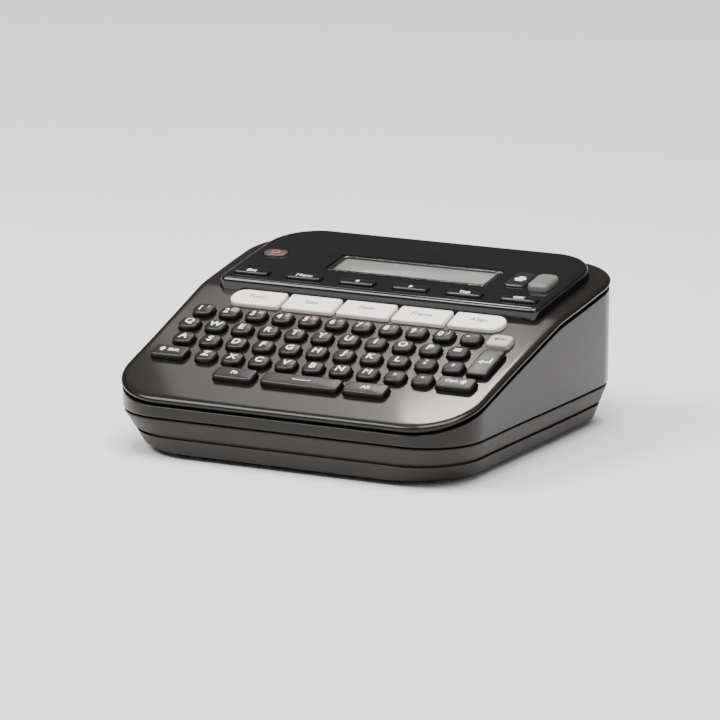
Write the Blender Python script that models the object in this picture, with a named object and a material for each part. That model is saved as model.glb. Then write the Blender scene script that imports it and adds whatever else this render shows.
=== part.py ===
# Desktop label maker with keyboard, display, tape drive and tape cutter.
# Lengths below are millimetres; geometry is written in metres. +Z up, +Y to the back.
import bpy
import bmesh
import math
from mathutils import Vector

MM = 0.001

# ---- overall case ----
HALF_W = 75.3            # half width at the front, at the deck edge
WIDEN = 0.042            # how much wider the case is at the back
Y_FRONT, Y_BACK = -74.5, 74.5
CORNER_R = 24.0
FLOOR_Z0, FLOOR_Z1 = 1.6, 3.6
SPLIT_LO, SPLIT_HI = 16.1, 16.5
SCREW_Y = 22.0           # rear pair of case screws
FRONT_X, FRONT_Y = 56.0, -54.0   # front pair

# ---- top surface: keyboard deck, fold, console ledge ----
DECK_Y0, DECK_Z0, DECK_SLOPE = -73.0, 25.1, 0.298
FOLD_Y0, FOLD_Y1, LEDGE_SLOPE = 9.5, 14.5, 0.15
FOLD_Z0 = DECK_Z0 + DECK_SLOPE * (FOLD_Y0 - DECK_Y0)
FOLD_Z1 = FOLD_Z0 + 0.5 * (DECK_SLOPE + LEDGE_SLOPE) * (FOLD_Y1 - FOLD_Y0)
DECK_T = 2.4             # thickness measured straight down

# ---- console panel ----
CON_W, CON_YF, CON_YB, CON_RF, CON_RB = 67.6, 8.7, 70.2, 3.2, 19.0
CON_RISE = 4.0
CON_PLATE = 2.2
GAP = 0.3

# ---- keyboard (deck frame: u right, v up the slope, w out of the deck) ----
PITCH = 11.47
KEY_HU, KEY_HV, KEY_R = 4.35, 4.0, 3.3
KEY_TOP = 2.2
ROW_V = (65.06, 53.7, 42.3, 30.9, 19.5)
ROW1_U0, ROW2_U0, ROW3_U0, ROW4_U0 = -64.0, -64.4, -61.0, -45.5
WEB_LO, WEB_HI = -5.2, -4.3          # key mat web
BOARD_LO, BOARD_HI = -6.8, -5.6      # keyboard circuit board
FLANGE_LO, FLANGE_HI = -3.2, -2.6
TOUCH_U0, TOUCH_P, TOUCH_V0, TOUCH_V1, TOUCH_TOP = -59.25, 23.7, 72.9, 84.0, 1.6
FN_U0, FN_P, FN_V, FN_HU, FN_HV = -57.3, 23.0, 2.6, 7.4, 2.4

# ---- display ----
LCD_U, LCD_V, LCD_HU, LCD_HV = 3.5, 22.6, 33.5, 7.4
PRINT_U, PRINT_V = 49.0, 22.8
LEVER_X, LEVER_Y = 59.6, 34.0

# ---- bays in the base ----
BAT_X0, BAT_X1, BAT_Y0, BAT_Y1, BAT_Z1 = -62.0, -6.5, -33.0, 57.0, 18.6
CAS_X0, CAS_X1, CAS_Y0, CAS_Y1, CAS_Z1 = -4.5, 62.0, -25.0, 57.5, 29.8
ROOF_T, WALL_T = 1.5, 1.9
CELL_Y0, CELL_P = -25.5, 15.0

# ---- gear train ----
MODULE = 1.0
GEAR_Z0, GEAR_Z1 = 34.4, 37.4
PLATEN = (54.0, 44.0, 18)
IDLER2 = (33.0, 44.0, 24)
IDLER1 = (5.0, 44.0, 32)
PINION = (-16.0, 44.0, 10)
RIBBON = (33.0, 21.0, 22)
PLATE_Z0, PLATE_Z1 = 32.6, 33.6

# ---- cutter ----
BLADE_PIVOT = (44.0, 40.0)           # x, z of the pivot, axis along Y
TAPE_X = 50.0

# ---- bottom cover hinge ----
HINGE_Y, HINGE_Z, HINGE_R = -38.0, 3.7, 1.7

for ob in list(bpy.data.objects):
    bpy.data.objects.remove(ob, do_unlink=True)


# ------------------------------------------------------------------ materials
def material(name, color, rough, metallic=0.0, alpha=1.0, trans=0.0):
    m = bpy.data.materials.new(name)
    m.use_nodes = True
    b = m.node_tree.nodes.get("Principled BSDF")
    b.inputs["Base Color"].default_value = (color[0], color[1], color[2], 1.0)
    b.inputs["Roughness"].default_value = rough
    b.inputs["Metallic"].default_value = metallic
    b.inputs["Alpha"].default_value = alpha
    b.inputs["Transmission Weight"].default_value = trans
    m.diffuse_color = (color[0], color[1], color[2], alpha)
    return m


# ------------------------------------------------------------------ helpers
def make(name, verts, faces, mat=None, origin=(0.0, 0.0, 0.0), smooth=True):
    me = bpy.data.meshes.new(name)
    me.from_pydata([((x - origin[0]) * MM, (y - origin[1]) * MM, (z - origin[2]) * MM)
                    for x, y, z in verts], [], faces)
    me.update()
    ob = bpy.data.objects.new(name, me)
    ob.location = (origin[0] * MM, origin[1] * MM, origin[2] * MM)
    bpy.context.scene.collection.objects.link(ob)
    if mat is not None:
        me.materials.append(mat)
    return ob


def stack(loops, strips=False):
    """Closed solid through loops with equal point counts, bottom to top, counter-clockwise."""
    n = len(loops[0])
    verts = [p for lp in loops for p in lp]
    faces = []
    for k in range(len(loops) - 1):
        a, b = k * n, (k + 1) * n
        for i in range(n):
            j = (i + 1) % n
            faces.append((a + i, a + j, b + j, b + i))
    top = (len(loops) - 1) * n
    if strips:
        m = n // 2
        for i in range(m - 1):
            r0, r1, l1, l0 = i, i + 1, n - 2 - i, n - 1 - i
            faces.append((top + r0, top + r1, top + l1, top + l0))
            faces.append((l0, l1, r1, r0))
    else:
        faces.append(tuple(range(top, top + n)))
        faces.append(tuple(reversed(range(n))))
    return verts, faces


def fan_top(loops, peak):
    """Like stack, with the top closed by a fan to a peak point."""
    verts, faces = stack(loops)
    n = len(loops[0])
    top = (len(loops) - 1) * n
    faces = [f for f in faces if not (len(f) == n and min(f) == top)]
    verts.append(peak)
    c = len(verts) - 1
    for i in range(n):
        faces.append((top + i, top + (i + 1) % n, c))
    return verts, faces


def merge(parts):
    verts, faces = [], []
    for v, f in parts:
        o = len(verts)
        verts += v
        faces += [tuple(i + o for i in q) for q in f]
    return verts, faces


def rrect(cx, cy, hx, hy, r, n=3):
    """Rounded rectangle, counter-clockwise."""
    r = min(r, hx, hy)
    pts = []
    for k, (sx, sy) in enumerate(((1, -1), (1, 1), (-1, 1), (-1, -1))):
        ox, oy = cx + sx * (hx - r), cy + sy * (hy - r)
        a0 = -math.pi / 2 + k * math.pi / 2
        for i in range(n + 1):
            a = a0 + math.pi / 2 * i / n
            pts.append((ox + r * math.cos(a), oy + r * math.sin(a)))
    return pts


def circle(cx, cy, r, n=24, phase=0.0):
    return [(cx + r * math.cos(phase + 2 * math.pi * i / n),
             cy + r * math.sin(phase + 2 * math.pi * i / n)) for i in range(n)]


def flat(p):
    return p


def frame(y0, z0, slope):
    a = math.atan(slope)
    c, s = math.cos(a), math.sin(a)
    return lambda p: (p[0], y0 + p[1] * c - p[2] * s, z0 + p[1] * s + p[2] * c)


DECK = frame(DECK_Y0, DECK_Z0, DECK_SLOPE)
LEDGE = frame(FOLD_Y1, FOLD_Z1, LEDGE_SLOPE)


def prism(poly, z0, z1, fr=flat):
    return stack([[fr((x, y, z0)) for x, y in poly], [fr((x, y, z1)) for x, y in poly]])


def box(x0, x1, y0, y1, z0, z1, fr=flat):
    return prism([(x0, y0), (x1, y0), (x1, y1), (x0, y1)], z0, z1, fr)


def cyl(cx, cy, r, z0, z1, n=24, fr=flat):
    return prism(circle(cx, cy, r, n), z0, z1, fr)


def slab_y(poly_xz, y0, y1):
    """Outline in X and Z, counter-clockwise seen from -Y, extruded along Y."""
    lo = [(x, y1, z) for x, z in poly_xz]
    hi = [(x, y0, z) for x, z in poly_xz]
    return stack([lo, hi])


def slab_x(poly_yz, x0, x1):
    """Outline in Y and Z, counter-clockwise seen from +X, extruded along X."""
    lo = [(x0, y, z) for y, z in poly_yz]
    hi = [(x1, y, z) for y, z in poly_yz]
    return stack([lo, hi])


def ledge_z(y):
    return FOLD_Z1 + LEDGE_SLOPE * (y - FOLD_Y1)


def deck_z(y):
    if y <= FOLD_Y0:
        return DECK_Z0 + DECK_SLOPE * (y - DECK_Y0)
    if y >= FOLD_Y1:
        return ledge_z(y)
    t = y - FOLD_Y0
    w = FOLD_Y1 - FOLD_Y0
    return FOLD_Z0 + DECK_SLOPE * t - 0.5 * (DECK_SLOPE - LEDGE_SLOPE) / w * t * t


def ring(inset, zf, hw=HALF_W, yf=Y_FRONT, yb=Y_BACK, rf=CORNER_R, rb=CORNER_R,
         stations=(-30.0, 9.5, 12.0, 14.5, 34.0), n=5, widen=WIDEN):
    """Case outline at one level, as mirrored pairs so that caps close in straight strips."""
    ch = []
    for i in range(n + 1):
        a = -math.pi / 2 + math.pi / 2 * i / n
        ch.append((hw - rf + (rf - inset) * math.cos(a), yf + rf + (rf - inset) * math.sin(a)))
    for y in stations:
        ch.append((hw - inset, y))
    for i in range(n + 1):
        a = math.pi / 2 * i / n
        ch.append((hw - rb + (rb - inset) * math.cos(a), yb - rb + (rb - inset) * math.sin(a)))
    out = []
    for x, y in ch:
        t = min(1.0, max(0.0, (y + 60.0) / 110.0))
        out.append((x * (1.0 + widen * t * t * (3 - 2 * t)), y))
    full = out + [(-x, y) for x, y in reversed(out)]
    return [(x, y, zf(y)) for x, y in full]


def tmp(vf, name="tool"):
    ob = make(name, vf[0], vf[1])
    return ob


def apply_bool(target, vf, op):
    tool = tmp(vf)
    tool.display_type = 'WIRE'
    tool.hide_render = True
    md = target.modifiers.new("b", 'BOOLEAN')
    md.operation = op
    md.solver = 'EXACT'
    md.use_self = False
    md.object = tool
    bpy.context.view_layer.update()
    dg = bpy.context.evaluated_depsgraph_get()
    me = bpy.data.meshes.new_from_object(target.evaluated_get(dg))
    target.modifiers.clear()
    old = target.data
    target.data = me
    bpy.data.meshes.remove(old)
    td = tool.data
    bpy.data.objects.remove(tool, do_unlink=True)
    bpy.data.meshes.remove(td)
    return target


def cut(target, *vfs):
    return apply_bool(target, merge(vfs), 'DIFFERENCE')


def cut_each(target, *vfs):
    for vf in vfs:
        apply_bool(target, vf, 'DIFFERENCE')
    return target


def add(target, *vfs):
    return apply_bool(target, merge(vfs), 'UNION')


def finish(ob, mat, angle=32.0):
    me = ob.data
    bm = bmesh.new()
    bm.from_mesh(me)
    bmesh.ops.remove_doubles(bm, verts=bm.verts, dist=2e-6)
    bmesh.ops.dissolve_degenerate(bm, dist=2e-6, edges=bm.edges)
    bm.to_mesh(me)
    bm.free()
    me.materials.clear()
    me.materials.append(mat)
    for p in me.polygons:
        p.use_smooth = True
        p.material_index = 0
    me.set_sharp_from_angle(angle=math.radians(angle))
    return ob


# ------------------------------------------------------------------ materials list
M_CASE = material("case_dark", (0.045, 0.043, 0.047), 0.48)
M_BASE = material("base_dark", (0.040, 0.038, 0.040), 0.55)
M_COVER = material("cover_dark", (0.040, 0.038, 0.040), 0.58)
M_GLOSS = material("console_gloss", (0.010, 0.010, 0.012), 0.08)
M_WINDOW = material("window_clear", (0.80, 0.86, 0.82), 0.05, 0.0, 0.35, 0.6)
M_LCD = material("lcd_glass", (0.36, 0.42, 0.36), 0.25)
M_RUBBER = material("foot_rubber", (0.020, 0.020, 0.020), 0.85)
M_SCREW = material("screw_steel", (0.55, 0.55, 0.56), 0.35, 1.0)
M_MAT = material("key_silicone", (0.030, 0.029, 0.032), 0.60)
M_WHITE = material("touch_white", (0.86, 0.84, 0.83), 0.40)
M_FN = material("function_gloss", (0.018, 0.018, 0.020), 0.25)
M_CAP = material("cap_dark", (0.030, 0.029, 0.032), 0.50)
M_POWER = material("power_cap", (0.18, 0.16, 0.16), 0.40)
M_PRINT = material("print_cap", (0.020, 0.020, 0.022), 0.30)
M_LEVER = material("lever_grey", (0.50, 0.54, 0.51), 0.45)
M_BOARD = material("key_board_green", (0.04, 0.20, 0.10), 0.45)
M_MAIN = material("main_board_green", (0.04, 0.20, 0.10), 0.45)
M_JACK = material("jack_black", (0.020, 0.020, 0.020), 0.50)
M_HEAD = material("head_aluminium", (0.70, 0.71, 0.72), 0.40, 1.0)
M_ROLLER = material("roller_rubber", (0.030, 0.030, 0.030), 0.80)
M_GEAR = material("gear_white", (0.82, 0.82, 0.78), 0.45)
M_PIN = material("pinion_brass", (0.78, 0.58, 0.26), 0.30, 1.0)
M_MOTOR = material("motor_steel", (0.62, 0.62, 0.63), 0.35, 1.0)
M_SPIN = material("spindle_black", (0.030, 0.030, 0.030), 0.50)
M_PLATE = material("plate_steel", (0.66, 0.67, 0.68), 0.35, 1.0)
M_BLADE = material("blade_steel", (0.72, 0.72, 0.73), 0.25, 1.0)
M_SPRING = material("spring_steel", (0.60, 0.60, 0.61), 0.30, 1.0)
M_NICKEL = material("contact_nickel", (0.70, 0.68, 0.64), 0.30, 1.0)


# ------------------------------------------------------------------ key layout
def small_keys():
    """Centres (u, v) of the letter, number and symbol keys moulded in the key mat."""
    out = []
    for i in range(11):
        out.append((ROW1_U0 + PITCH * i, ROW_V[0]))
    for i in range(11):
        out.append((ROW2_U0 + PITCH * i, ROW_V[1]))
    for i in range(11):
        out.append((ROW3_U0 + PITCH * i, ROW_V[2]))
    for i in range(9):
        out.append((ROW4_U0 + PITCH * i, ROW_V[3]))
    return out


# name, centre u, centre v, half u, half v
WIDE_KEYS = (
    ("backspace_key", ROW1_U0 + PITCH * 11 + 0.3, ROW_V[0], 4.7, 4.0),
    ("enter_key", 64.3, 48.0, 4.7, 9.7),
    ("shift_key_left", -61.0, ROW_V[3], 7.4, 4.0),
    ("shift_key_right", 59.9, ROW_V[3], 7.8, 4.0),
    ("low_key_left", -27.3, ROW_V[4], 8.6, 4.0),
    ("space_key", 1.0, ROW_V[4], 16.4, 4.0),
    ("low_key_right", 28.0, ROW_V[4], 8.9, 4.0),
)


def touch_outline(i, ins, gy=0.0):
    """Plan of one white key; the outer ends of the row are well rounded."""
    u = TOUCH_U0 + TOUCH_P * (i + 0.5)
    mid, hu, hv = 0.5 * (TOUCH_V0 + TOUCH_V1), 0.5 * TOUCH_P - 0.85, 0.5 * (TOUCH_V1 - TOUCH_V0)
    pts = []
    for k, (sx, sy) in enumerate(((1, -1), (1, 1), (-1, 1), (-1, -1))):
        big = (i == 4 and sx > 0) or (i == 0 and sx < 0)
        r = max((5.0 if big else 1.1) - ins, 0.3)
        hx, hy = hu - ins, hv - ins + gy
        ox, oy = u + sx * (hx - r), mid + sy * (hy - r)
        a0 = -math.pi / 2 + k * math.pi / 2
        for q in range(4):
            a = a0 + math.pi / 2 * q / 3
            pts.append((ox + r * math.cos(a), oy + r * math.sin(a)))
    return pts


# ------------------------------------------------------------------ upper case
def build_upper():
    def top(d):
        return lambda y: deck_z(y) + d
    loops = [
        ring(1.0, lambda y: SPLIT_HI),
        ring(0.55, lambda y: SPLIT_HI + 0.6),
        ring(0.35, top(-3.9)),
        ring(0.9, top(-3.7)),
        ring(2.7, top(-3.6)),
        ring(2.7, top(-2.5)),
        ring(0.8, top(-2.35)),
        ring(0.15, top(-1.8)),
        ring(0.0, top(-1.25)),
        ring(0.25, top(-0.7)),
        ring(0.95, top(-0.2)),
        ring(2.2, top(0.0)),
    ]
    v, f = stack(loops, strips=True)
    ob = make("upper_case", v, f)
    inner = stack([ring(4.4, lambda y: 12.0), ring(4.8, top(-6.0)), ring(5.2, top(-DECK_T - 0.5)),
                   ring(5.6, top(-DECK_T))], strips=True)
    cut(ob, inner)
    # screw bosses
    bosses = []
    for sx in (-1, 1):
        bosses.append(cyl(FRONT_X * sx, FRONT_Y, 3.0, SPLIT_HI + 0.2, deck_z(FRONT_Y) - 1.2, 16))
        bosses.append(cyl(67.3 * sx, SCREW_Y, 3.0, SPLIT_HI + 0.2, deck_z(SCREW_Y) - 1.2, 16))
    add(ob, *bosses)
    holes = []
    for sx in (-1, 1):
        holes.append(cyl(FRONT_X * sx, FRONT_Y, 1.4, 10.0, 24.6, 12))
        holes.append(cyl(67.3 * sx, SCREW_Y, 1.4, 10.0, 30.0, 12))
    # console pocket
    def pl(d):
        return lambda y: ledge_z(y) + d
    st = (14.5, 34.0)
    holes.append(stack([ring(-GAP, pl(-1.3), CON_W, CON_YF, CON_YB, CON_RF, CON_RB, st, 5, 0.02),
                        ring(-GAP, pl(6.0), CON_W, CON_YF, CON_YB, CON_RF, CON_RB, st, 5, 0.02)],
                       strips=True))
    # jack hole in the back wall, label slot in the back wall
    c = circle(-51.5, 31.2, 4.6, 20)
    holes.append(slab_y(c, 66.0, 80.0))
    holes.append(box(TAPE_X - 1.2, TAPE_X + 1.2, 66.0, 80.0, 10.0, 30.0))
    cut(ob, *holes)
    more = []
    for u, v_ in small_keys():
        more.append(prism(rrect(u, v_, KEY_HU + 0.35, KEY_HV + 0.35, KEY_R + 0.3, 2), -6.0, 4.0, DECK))
    for _, u, v_, hu, hv in WIDE_KEYS:
        more.append(prism(rrect(u, v_, hu + 0.35, hv + 0.35, 2.6, 3), -6.0, 4.0, DECK))
    for i in range(5):
        more.append(prism(touch_outline(i, -0.3), -6.0, 4.0, DECK))
    more.append(box(LCD_U - 39.5, LCD_U + 39.5, LCD_V - 12.6, LCD_V + 12.6, -6.0, 2.0, LEDGE))
    for i in range(6):
        u = FN_U0 + FN_P * i
        more.append(box(u - 3.2, u + 3.2, FN_V - 1.7, FN_V + 1.7, -6.0, 2.0, LEDGE))
    more.append(prism(rrect(LEVER_X, LEVER_Y, 4.7, 6.9, 3.0, 3), 40.0, 70.0))
    cut(ob, *more)
    return finish(ob, M_CASE)


# ------------------------------------------------------------------ lower case
def build_lower():
    def z(c):
        return lambda y: c
    def rn(i, h, r):
        return ring(i, z(h), rf=r + i)
    loops = [
        rn(7.6, FLOOR_Z0, 27.0), rn(6.4, 1.9, 26.8), rn(5.6, 2.9, 26.5), rn(4.9, 4.6, 26.0),
        rn(3.8, 8.0, 25.3), rn(4.8, 8.3, 24.3), rn(4.8, 9.2, 24.3), rn(3.1, 9.5, 24.8),
        rn(0.95, 15.5, 23.3), rn(1.4, SPLIT_LO, 22.8),
    ]
    v, f = stack(loops, strips=True)
    ob = make("lower_case", v, f)
    inner = stack([rn(9.2, FLOOR_Z1, 25.2), rn(7.6, 5.2, 24.4), rn(7.0, 9.4, 22.8), rn(4.9, 13.0, 21.0),
                   rn(4.9, 20.0, 20.6)], strips=True)
    cut(ob, inner)
    # bay boxes and lower screw bosses
    w = WALL_T
    adders = [
        box(BAT_X0 - w, BAT_X1 + 0.7, BAT_Y0 - w, BAT_Y1 + w, 2.6, BAT_Z1 + ROOF_T),
    ]
    add(ob, *adders)
    add(ob, box(CAS_X0 - 1.5, CAS_X1 + w, CAS_Y0 - w, CAS_Y1 + w, 2.5, CAS_Z1 + ROOF_T))
    pegs = []
    top = CAS_Z1 + ROOF_T
    for x, y in ((-1.5, 12.0), (58.5, 12.0), (18.0, 22.0), (44.5, 55.5)):
        pegs.append(cyl(x, y, 1.9, top - 0.7, PLATE_Z0 - GAP, 12))
    for x, y in ((-58.0, -15.0), (-34.5, -15.0), (-58.0, 45.0), (-34.5, 45.0)):
        pegs.append(cyl(x, y, 1.9, BAT_Z1 + 0.5, 23.5, 12))
    for sx in (-1, 1):
        pegs.append(cyl(FRONT_X * sx, FRONT_Y, 3.5, 2.7, SPLIT_LO + 0.1, 16))
        pegs.append(cyl(67.3 * sx, SCREW_Y, 3.5, 2.7, SPLIT_LO + 0.1, 16))
        pegs.append(box(40.0 * sx - 10, 40.0 * sx + 10, -41.6, -35.2, 2.8, 7.4))
    add(ob, *pegs)
    cuts = [
        box(BAT_X0, BAT_X1, BAT_Y0, BAT_Y1, 0.0, BAT_Z1),
        box(CAS_X0, CAS_X1, CAS_Y0, CAS_Y1, 0.2, CAS_Z1),
    ]
    cut(ob, *cuts)
    cut(ob, box(-62.6, 62.6, -34.3, 58.1, -1.0, 3.5))
    holes = []
    for sx in (-1, 1):
        for x, y in ((FRONT_X * sx, FRONT_Y), (67.3 * sx, SCREW_Y)):
            holes.append(stack([[(p[0], p[1], zz) for p in circle(x, y, r, 16)]
                                for r, zz in ((2.75, 0.0), (2.75, 8.0), (1.55, 8.001), (1.55, 22.0))]))
        t = circle(HINGE_Y, HINGE_Z, HINGE_R + 0.4, 20)
        holes.append(slab_x(t, 40.0 * sx - 7.3, 40.0 * sx + 7.3))
    # label slots: bay wall and back wall
    holes.append(box(TAPE_X - 1.2, TAPE_X + 1.2, CAS_Y1 - 1.0, CAS_Y1 + 4.0, 4.6, 28.6))
    holes.append(box(TAPE_X - 1.2, TAPE_X + 1.2, 66.0, 80.0, 5.2, 20.0))
    # roof openings: platen shaft, ribbon shaft, print head
    holes.append(cyl(PLATEN[0], PLATEN[1], 1.6, 25.0, 40.0, 20))
    holes.append(cyl(RIBBON[0], RIBBON[1], 1.6, 25.0, 40.0, 20))
    holes.append(box(47.0, 50.1, 36.6, 51.4, 25.0, 40.0))
    cut(ob, *holes)
    cut(ob, *[box(40.0 * sx - 7.31, 40.0 * sx + 7.31, -40.4, -34.0, -1.0, 3.55) for sx in (-1, 1)])
    # shallow seats for the feet
    feet = []
    for sx in (-1, 1):
        feet.append(prism(rrect(38.0 * sx, -60.5, 8.3, 2.8, 2.0, 2), 0.0, 2.2))
        feet.append(prism(rrect(48.0 * sx, 62.6, 8.3, 2.4, 2.0, 2), 0.0, 2.2))
    cut(ob, *feet)
    return finish(ob, M_BASE)


def build_feet():
    k = 0
    for nm, x, y, hy in (("foot_front_left", -38.0, -60.5, 2.5), ("foot_front_right", 38.0, -60.5, 2.5),
                         ("foot_rear_left", -48.0, 62.6, 2.1), ("foot_rear_right", 48.0, 62.6, 2.1)):
        lp = [[(p[0], p[1], zz) for p in rrect(x, y, 8.0 - i, hy - i, 1.8, 3)]
              for i, zz in ((0.4, 0.0), (0.0, 0.4), (0.0, 1.9))]
        finish(make(nm, *stack(lp)), M_RUBBER)
        k += 1


def build_cover():
    ob = make("bottom_cover", *box(-62.3, 62.3, -33.7, 57.8, FLOOR_Z0, 3.2), origin=(0.0, HINGE_Y, HINGE_Z))
    parts = []
    for sx in (-1, 1):
        parts.append(slab_x(circle(HINGE_Y, HINGE_Z, HINGE_R, 20), 40.0 * sx - 6.9, 40.0 * sx + 6.9))
    add(ob, *parts)
    arms = [box(40.0 * sx - 6.8, 40.0 * sx + 6.8, HINGE_Y + 0.2, -33.0, FLOOR_Z0 + 0.001, 3.19) for sx in (-1, 1)]
    add(ob, *arms)
    grooves = [box(-14.0, 14.0, 53.0 + 1.6 * i, 53.7 + 1.6 * i, 0.0, 2.0) for i in range(3)]
    cut(ob, *grooves)
    return finish(ob, M_COVER)


# ------------------------------------------------------------------ console
def build_console():
    def pl(d):
        return lambda y: ledge_z(y) + d
    st = (14.5, 34.0)

    def rg(i, d):
        return ring(i, pl(d), CON_W, CON_YF, CON_YB, CON_RF, CON_RB, st, 5, 0.02)
    ob = make("console_panel", *stack([rg(0, -1.0), rg(0, 2.6), rg(0.25, 3.3), rg(0.8, 3.8), rg(1.7, CON_RISE)],
                                      strips=True))
    cut(ob, stack([rg(1.9, -2.0), rg(1.9, 1.0), rg(2.4, CON_RISE - CON_PLATE)], strips=True))
    cuts = [prism(rrect(LCD_U, LCD_V, LCD_HU + 1.8, LCD_HV + 1.8, 2.4, 3), 2.75, 8.0, LEDGE)]
    for i in range(6):
        cuts.append(prism(rrect(FN_U0 + FN_P * i, FN_V, FN_HU + 0.3, FN_HV + 0.3, 1.6, 3), -1.0, 8.0, LEDGE))
    cuts.append(prism(rrect(-58.5, 24.9, 5.3, 3.7, 3.6, 4), -1.0, 8.0, LEDGE))
    cuts.append(prism(rrect(PRINT_U, PRINT_V, 4.5, 7.7, 2.0, 3), -1.0, 8.0, LEDGE))
    cuts.append(prism(rrect(LEVER_X, LEVER_Y, 4.7, 6.9, 3.0, 3), 40.0, 75.0))
    cut(ob, *cuts)
    cut(ob, prism(rrect(LCD_U, LCD_V, LCD_HU, LCD_HV, 1.2, 3), -1.0, 5.0, LEDGE))
    finish(ob, M_GLOSS)

    win = prism(rrect(LCD_U, LCD_V, LCD_HU + 1.5, LCD_HV + 1.5, 2.1, 4), 2.95, 3.8, LEDGE)
    finish(make("lcd_window", *win), M_WINDOW)

    lcd = make("lcd_module", *box(LCD_U - 37.5, LCD_U + 37.5, LCD_V - 11.6, LCD_V + 11.6, -0.6, 1.3, LEDGE))
    add(lcd, box(LCD_U - 36.0, LCD_U + 36.0, LCD_V - 11.0, LCD_V + 11.0, -2.0, -0.5, LEDGE))
    add(lcd, box(LCD_U - LCD_HU + 0.6, LCD_U + LCD_HU - 0.6, LCD_V - LCD_HV + 0.6, LCD_V + LCD_HV - 0.6,
                 1.2, 2.3, LEDGE))
    finish(lcd, M_LCD)


def key_cap(name, fr, u, v, hu, hv, r, low, top, mat, fl=None, flu=0.7, flv=0.6, crown=0.18, edge=0.9, n=3):
    """One hard key cap with a retaining flange under the panel."""
    lp = []
    if fl:
        for d, w in ((1, fl[0]), (1, fl[1])):
            lp.append([fr((p[0], p[1], w)) for p in rrect(u, v, hu + flu, hv + flv, r, n)])
        lp.append([fr((p[0], p[1], fl[1] + 0.001)) for p in rrect(u, v, hu, hv, r, n)])
    else:
        lp.append([fr((p[0], p[1], low)) for p in rrect(u, v, hu, hv, r, n)])
    for i, w in ((0.0, top - edge), (0.25 * edge, top - 0.4 * edge), (0.9 * edge, top)):
        lp.append([fr((p[0], p[1], w)) for p in rrect(u, v, hu - i, hv - i, max(r - i, 0.4), n)])
    vv, ff = fan_top(lp, fr((u, v, top + crown)))
    o = fr((u, v, 0.0))
    ob = make(name, vv, ff, origin=o)
    return ob


def build_keys():
    # silicone key mat: web with the small keys standing on it
    web = [(-64.5, 25.0), (-46.0, 25.0), (-46.0, 13.0), (46.0, 13.0), (46.0, 25.0), (68.6, 25.0),
           (69.6, 38.0), (69.8, 71.5), (63.5, 71.5), (63.5, 92.0), (-63.5, 92.0), (-63.5, 71.5), (-69.6, 71.5), (-69.6, 36.0),
           (-64.5, 36.0)]
    ob = make("key_mat", *prism(web, WEB_LO, WEB_HI, DECK))
    parts = []
    for u, v in small_keys():
        lp = [[DECK((p[0], p[1], w)) for p in rrect(u, v, KEY_HU - i, KEY_HV - i, KEY_R - 0.6 * i, 2)]
              for i, w in ((0.0, WEB_HI - 0.3), (0.0, KEY_TOP - 0.9), (0.9, KEY_TOP))]
        parts.append(fan_top(lp, DECK((u, v, KEY_TOP + 0.25))))
    add(ob, *parts)
    finish(ob, M_MAT)

    for nm, u, v, hu, hv in WIDE_KEYS:
        finish(key_cap(nm, DECK, u, v, hu, hv, 2.3, 0.0, KEY_TOP, M_CAP, (FLANGE_LO, FLANGE_HI), 0.45, 0.6), M_CAP)

    mid = 0.5 * (TOUCH_V0 + TOUCH_V1)
    for i in range(5):
        u = TOUCH_U0 + TOUCH_P * (i + 0.5)
        lp = []
        for w, ins, gy in ((FLANGE_LO, 0.0, 0.55), (FLANGE_HI, 0.0, 0.55), (FLANGE_HI + 0.001, 0.0, 0.0),
                           (TOUCH_TOP - 0.8, 0.0, 0.0), (TOUCH_TOP - 0.3, 0.22, 0.0), (TOUCH_TOP, 0.9, 0.0)):
            lp.append([DECK((p[0], p[1], w)) for p in touch_outline(i, ins, gy)])
        vv, ff = fan_top(lp, DECK((u, mid, TOUCH_TOP + 0.15)))
        finish(make("touch_key_%d" % (i + 1), vv, ff, origin=DECK((u, mid, 0.0))), M_WHITE)

    con_top = CON_RISE * math.cos(math.atan(LEDGE_SLOPE))
    for i in range(6):
        u = FN_U0 + FN_P * i
        ob = key_cap("function_key_%d" % (i + 1), LEDGE, u, FN_V, FN_HU, FN_HV, 1.4, 0.0, con_top + 1.0, M_FN,
                     (1.0, 1.6), 0.5, -0.1, 0.1, 0.7)
        add(ob, box(u - 2.8, u + 2.8, FN_V - 1.3, FN_V + 1.3, -2.9, 1.1, LEDGE))
        finish(ob, M_FN)
    finish(key_cap("power_button", LEDGE, -58.5, 24.9, 5.0, 3.4, 3.3, 0.0, con_top + 0.8, M_POWER,
                   (1.0, 1.6), 0.7, 0.7, 0.1, 0.7, 4), M_POWER)
    finish(key_cap("print_button", LEDGE, PRINT_U, PRINT_V, 4.2, 7.4, 1.7, 0.0, con_top + 0.7, M_PRINT,
                   (1.0, 1.6), 0.5, 0.7, 0.1, 0.7), M_PRINT)


def build_lever():
    def pl(d):
        return lambda y: ledge_z(y) + d

    def lp(e, d, r=2.7):
        return [(p[0], p[1], ledge_z(p[1]) + d) for p in rrect(LEVER_X, LEVER_Y, 4.4 + e, 6.6 + e, r + e, 4)]
    t = CON_RISE + 2.4
    ob = make("cutter_lever", *stack([lp(0.8, -4.4), lp(0.8, -2.8), lp(0.0, -2.799), lp(0.0, t - 1.2),
                                      lp(-0.4, t - 0.4), lp(-1.3, t)]), origin=(LEVER_X, LEVER_Y, ledge_z(LEVER_Y)))
    add(ob, box(57.5, 60.5, 30.5, 36.0, 42.31, 52.0))
    add(ob, box(57.4, 60.6, 30.4, 64.0, 42.3, 46.0))
    return finish(ob, M_LEVER)


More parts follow.
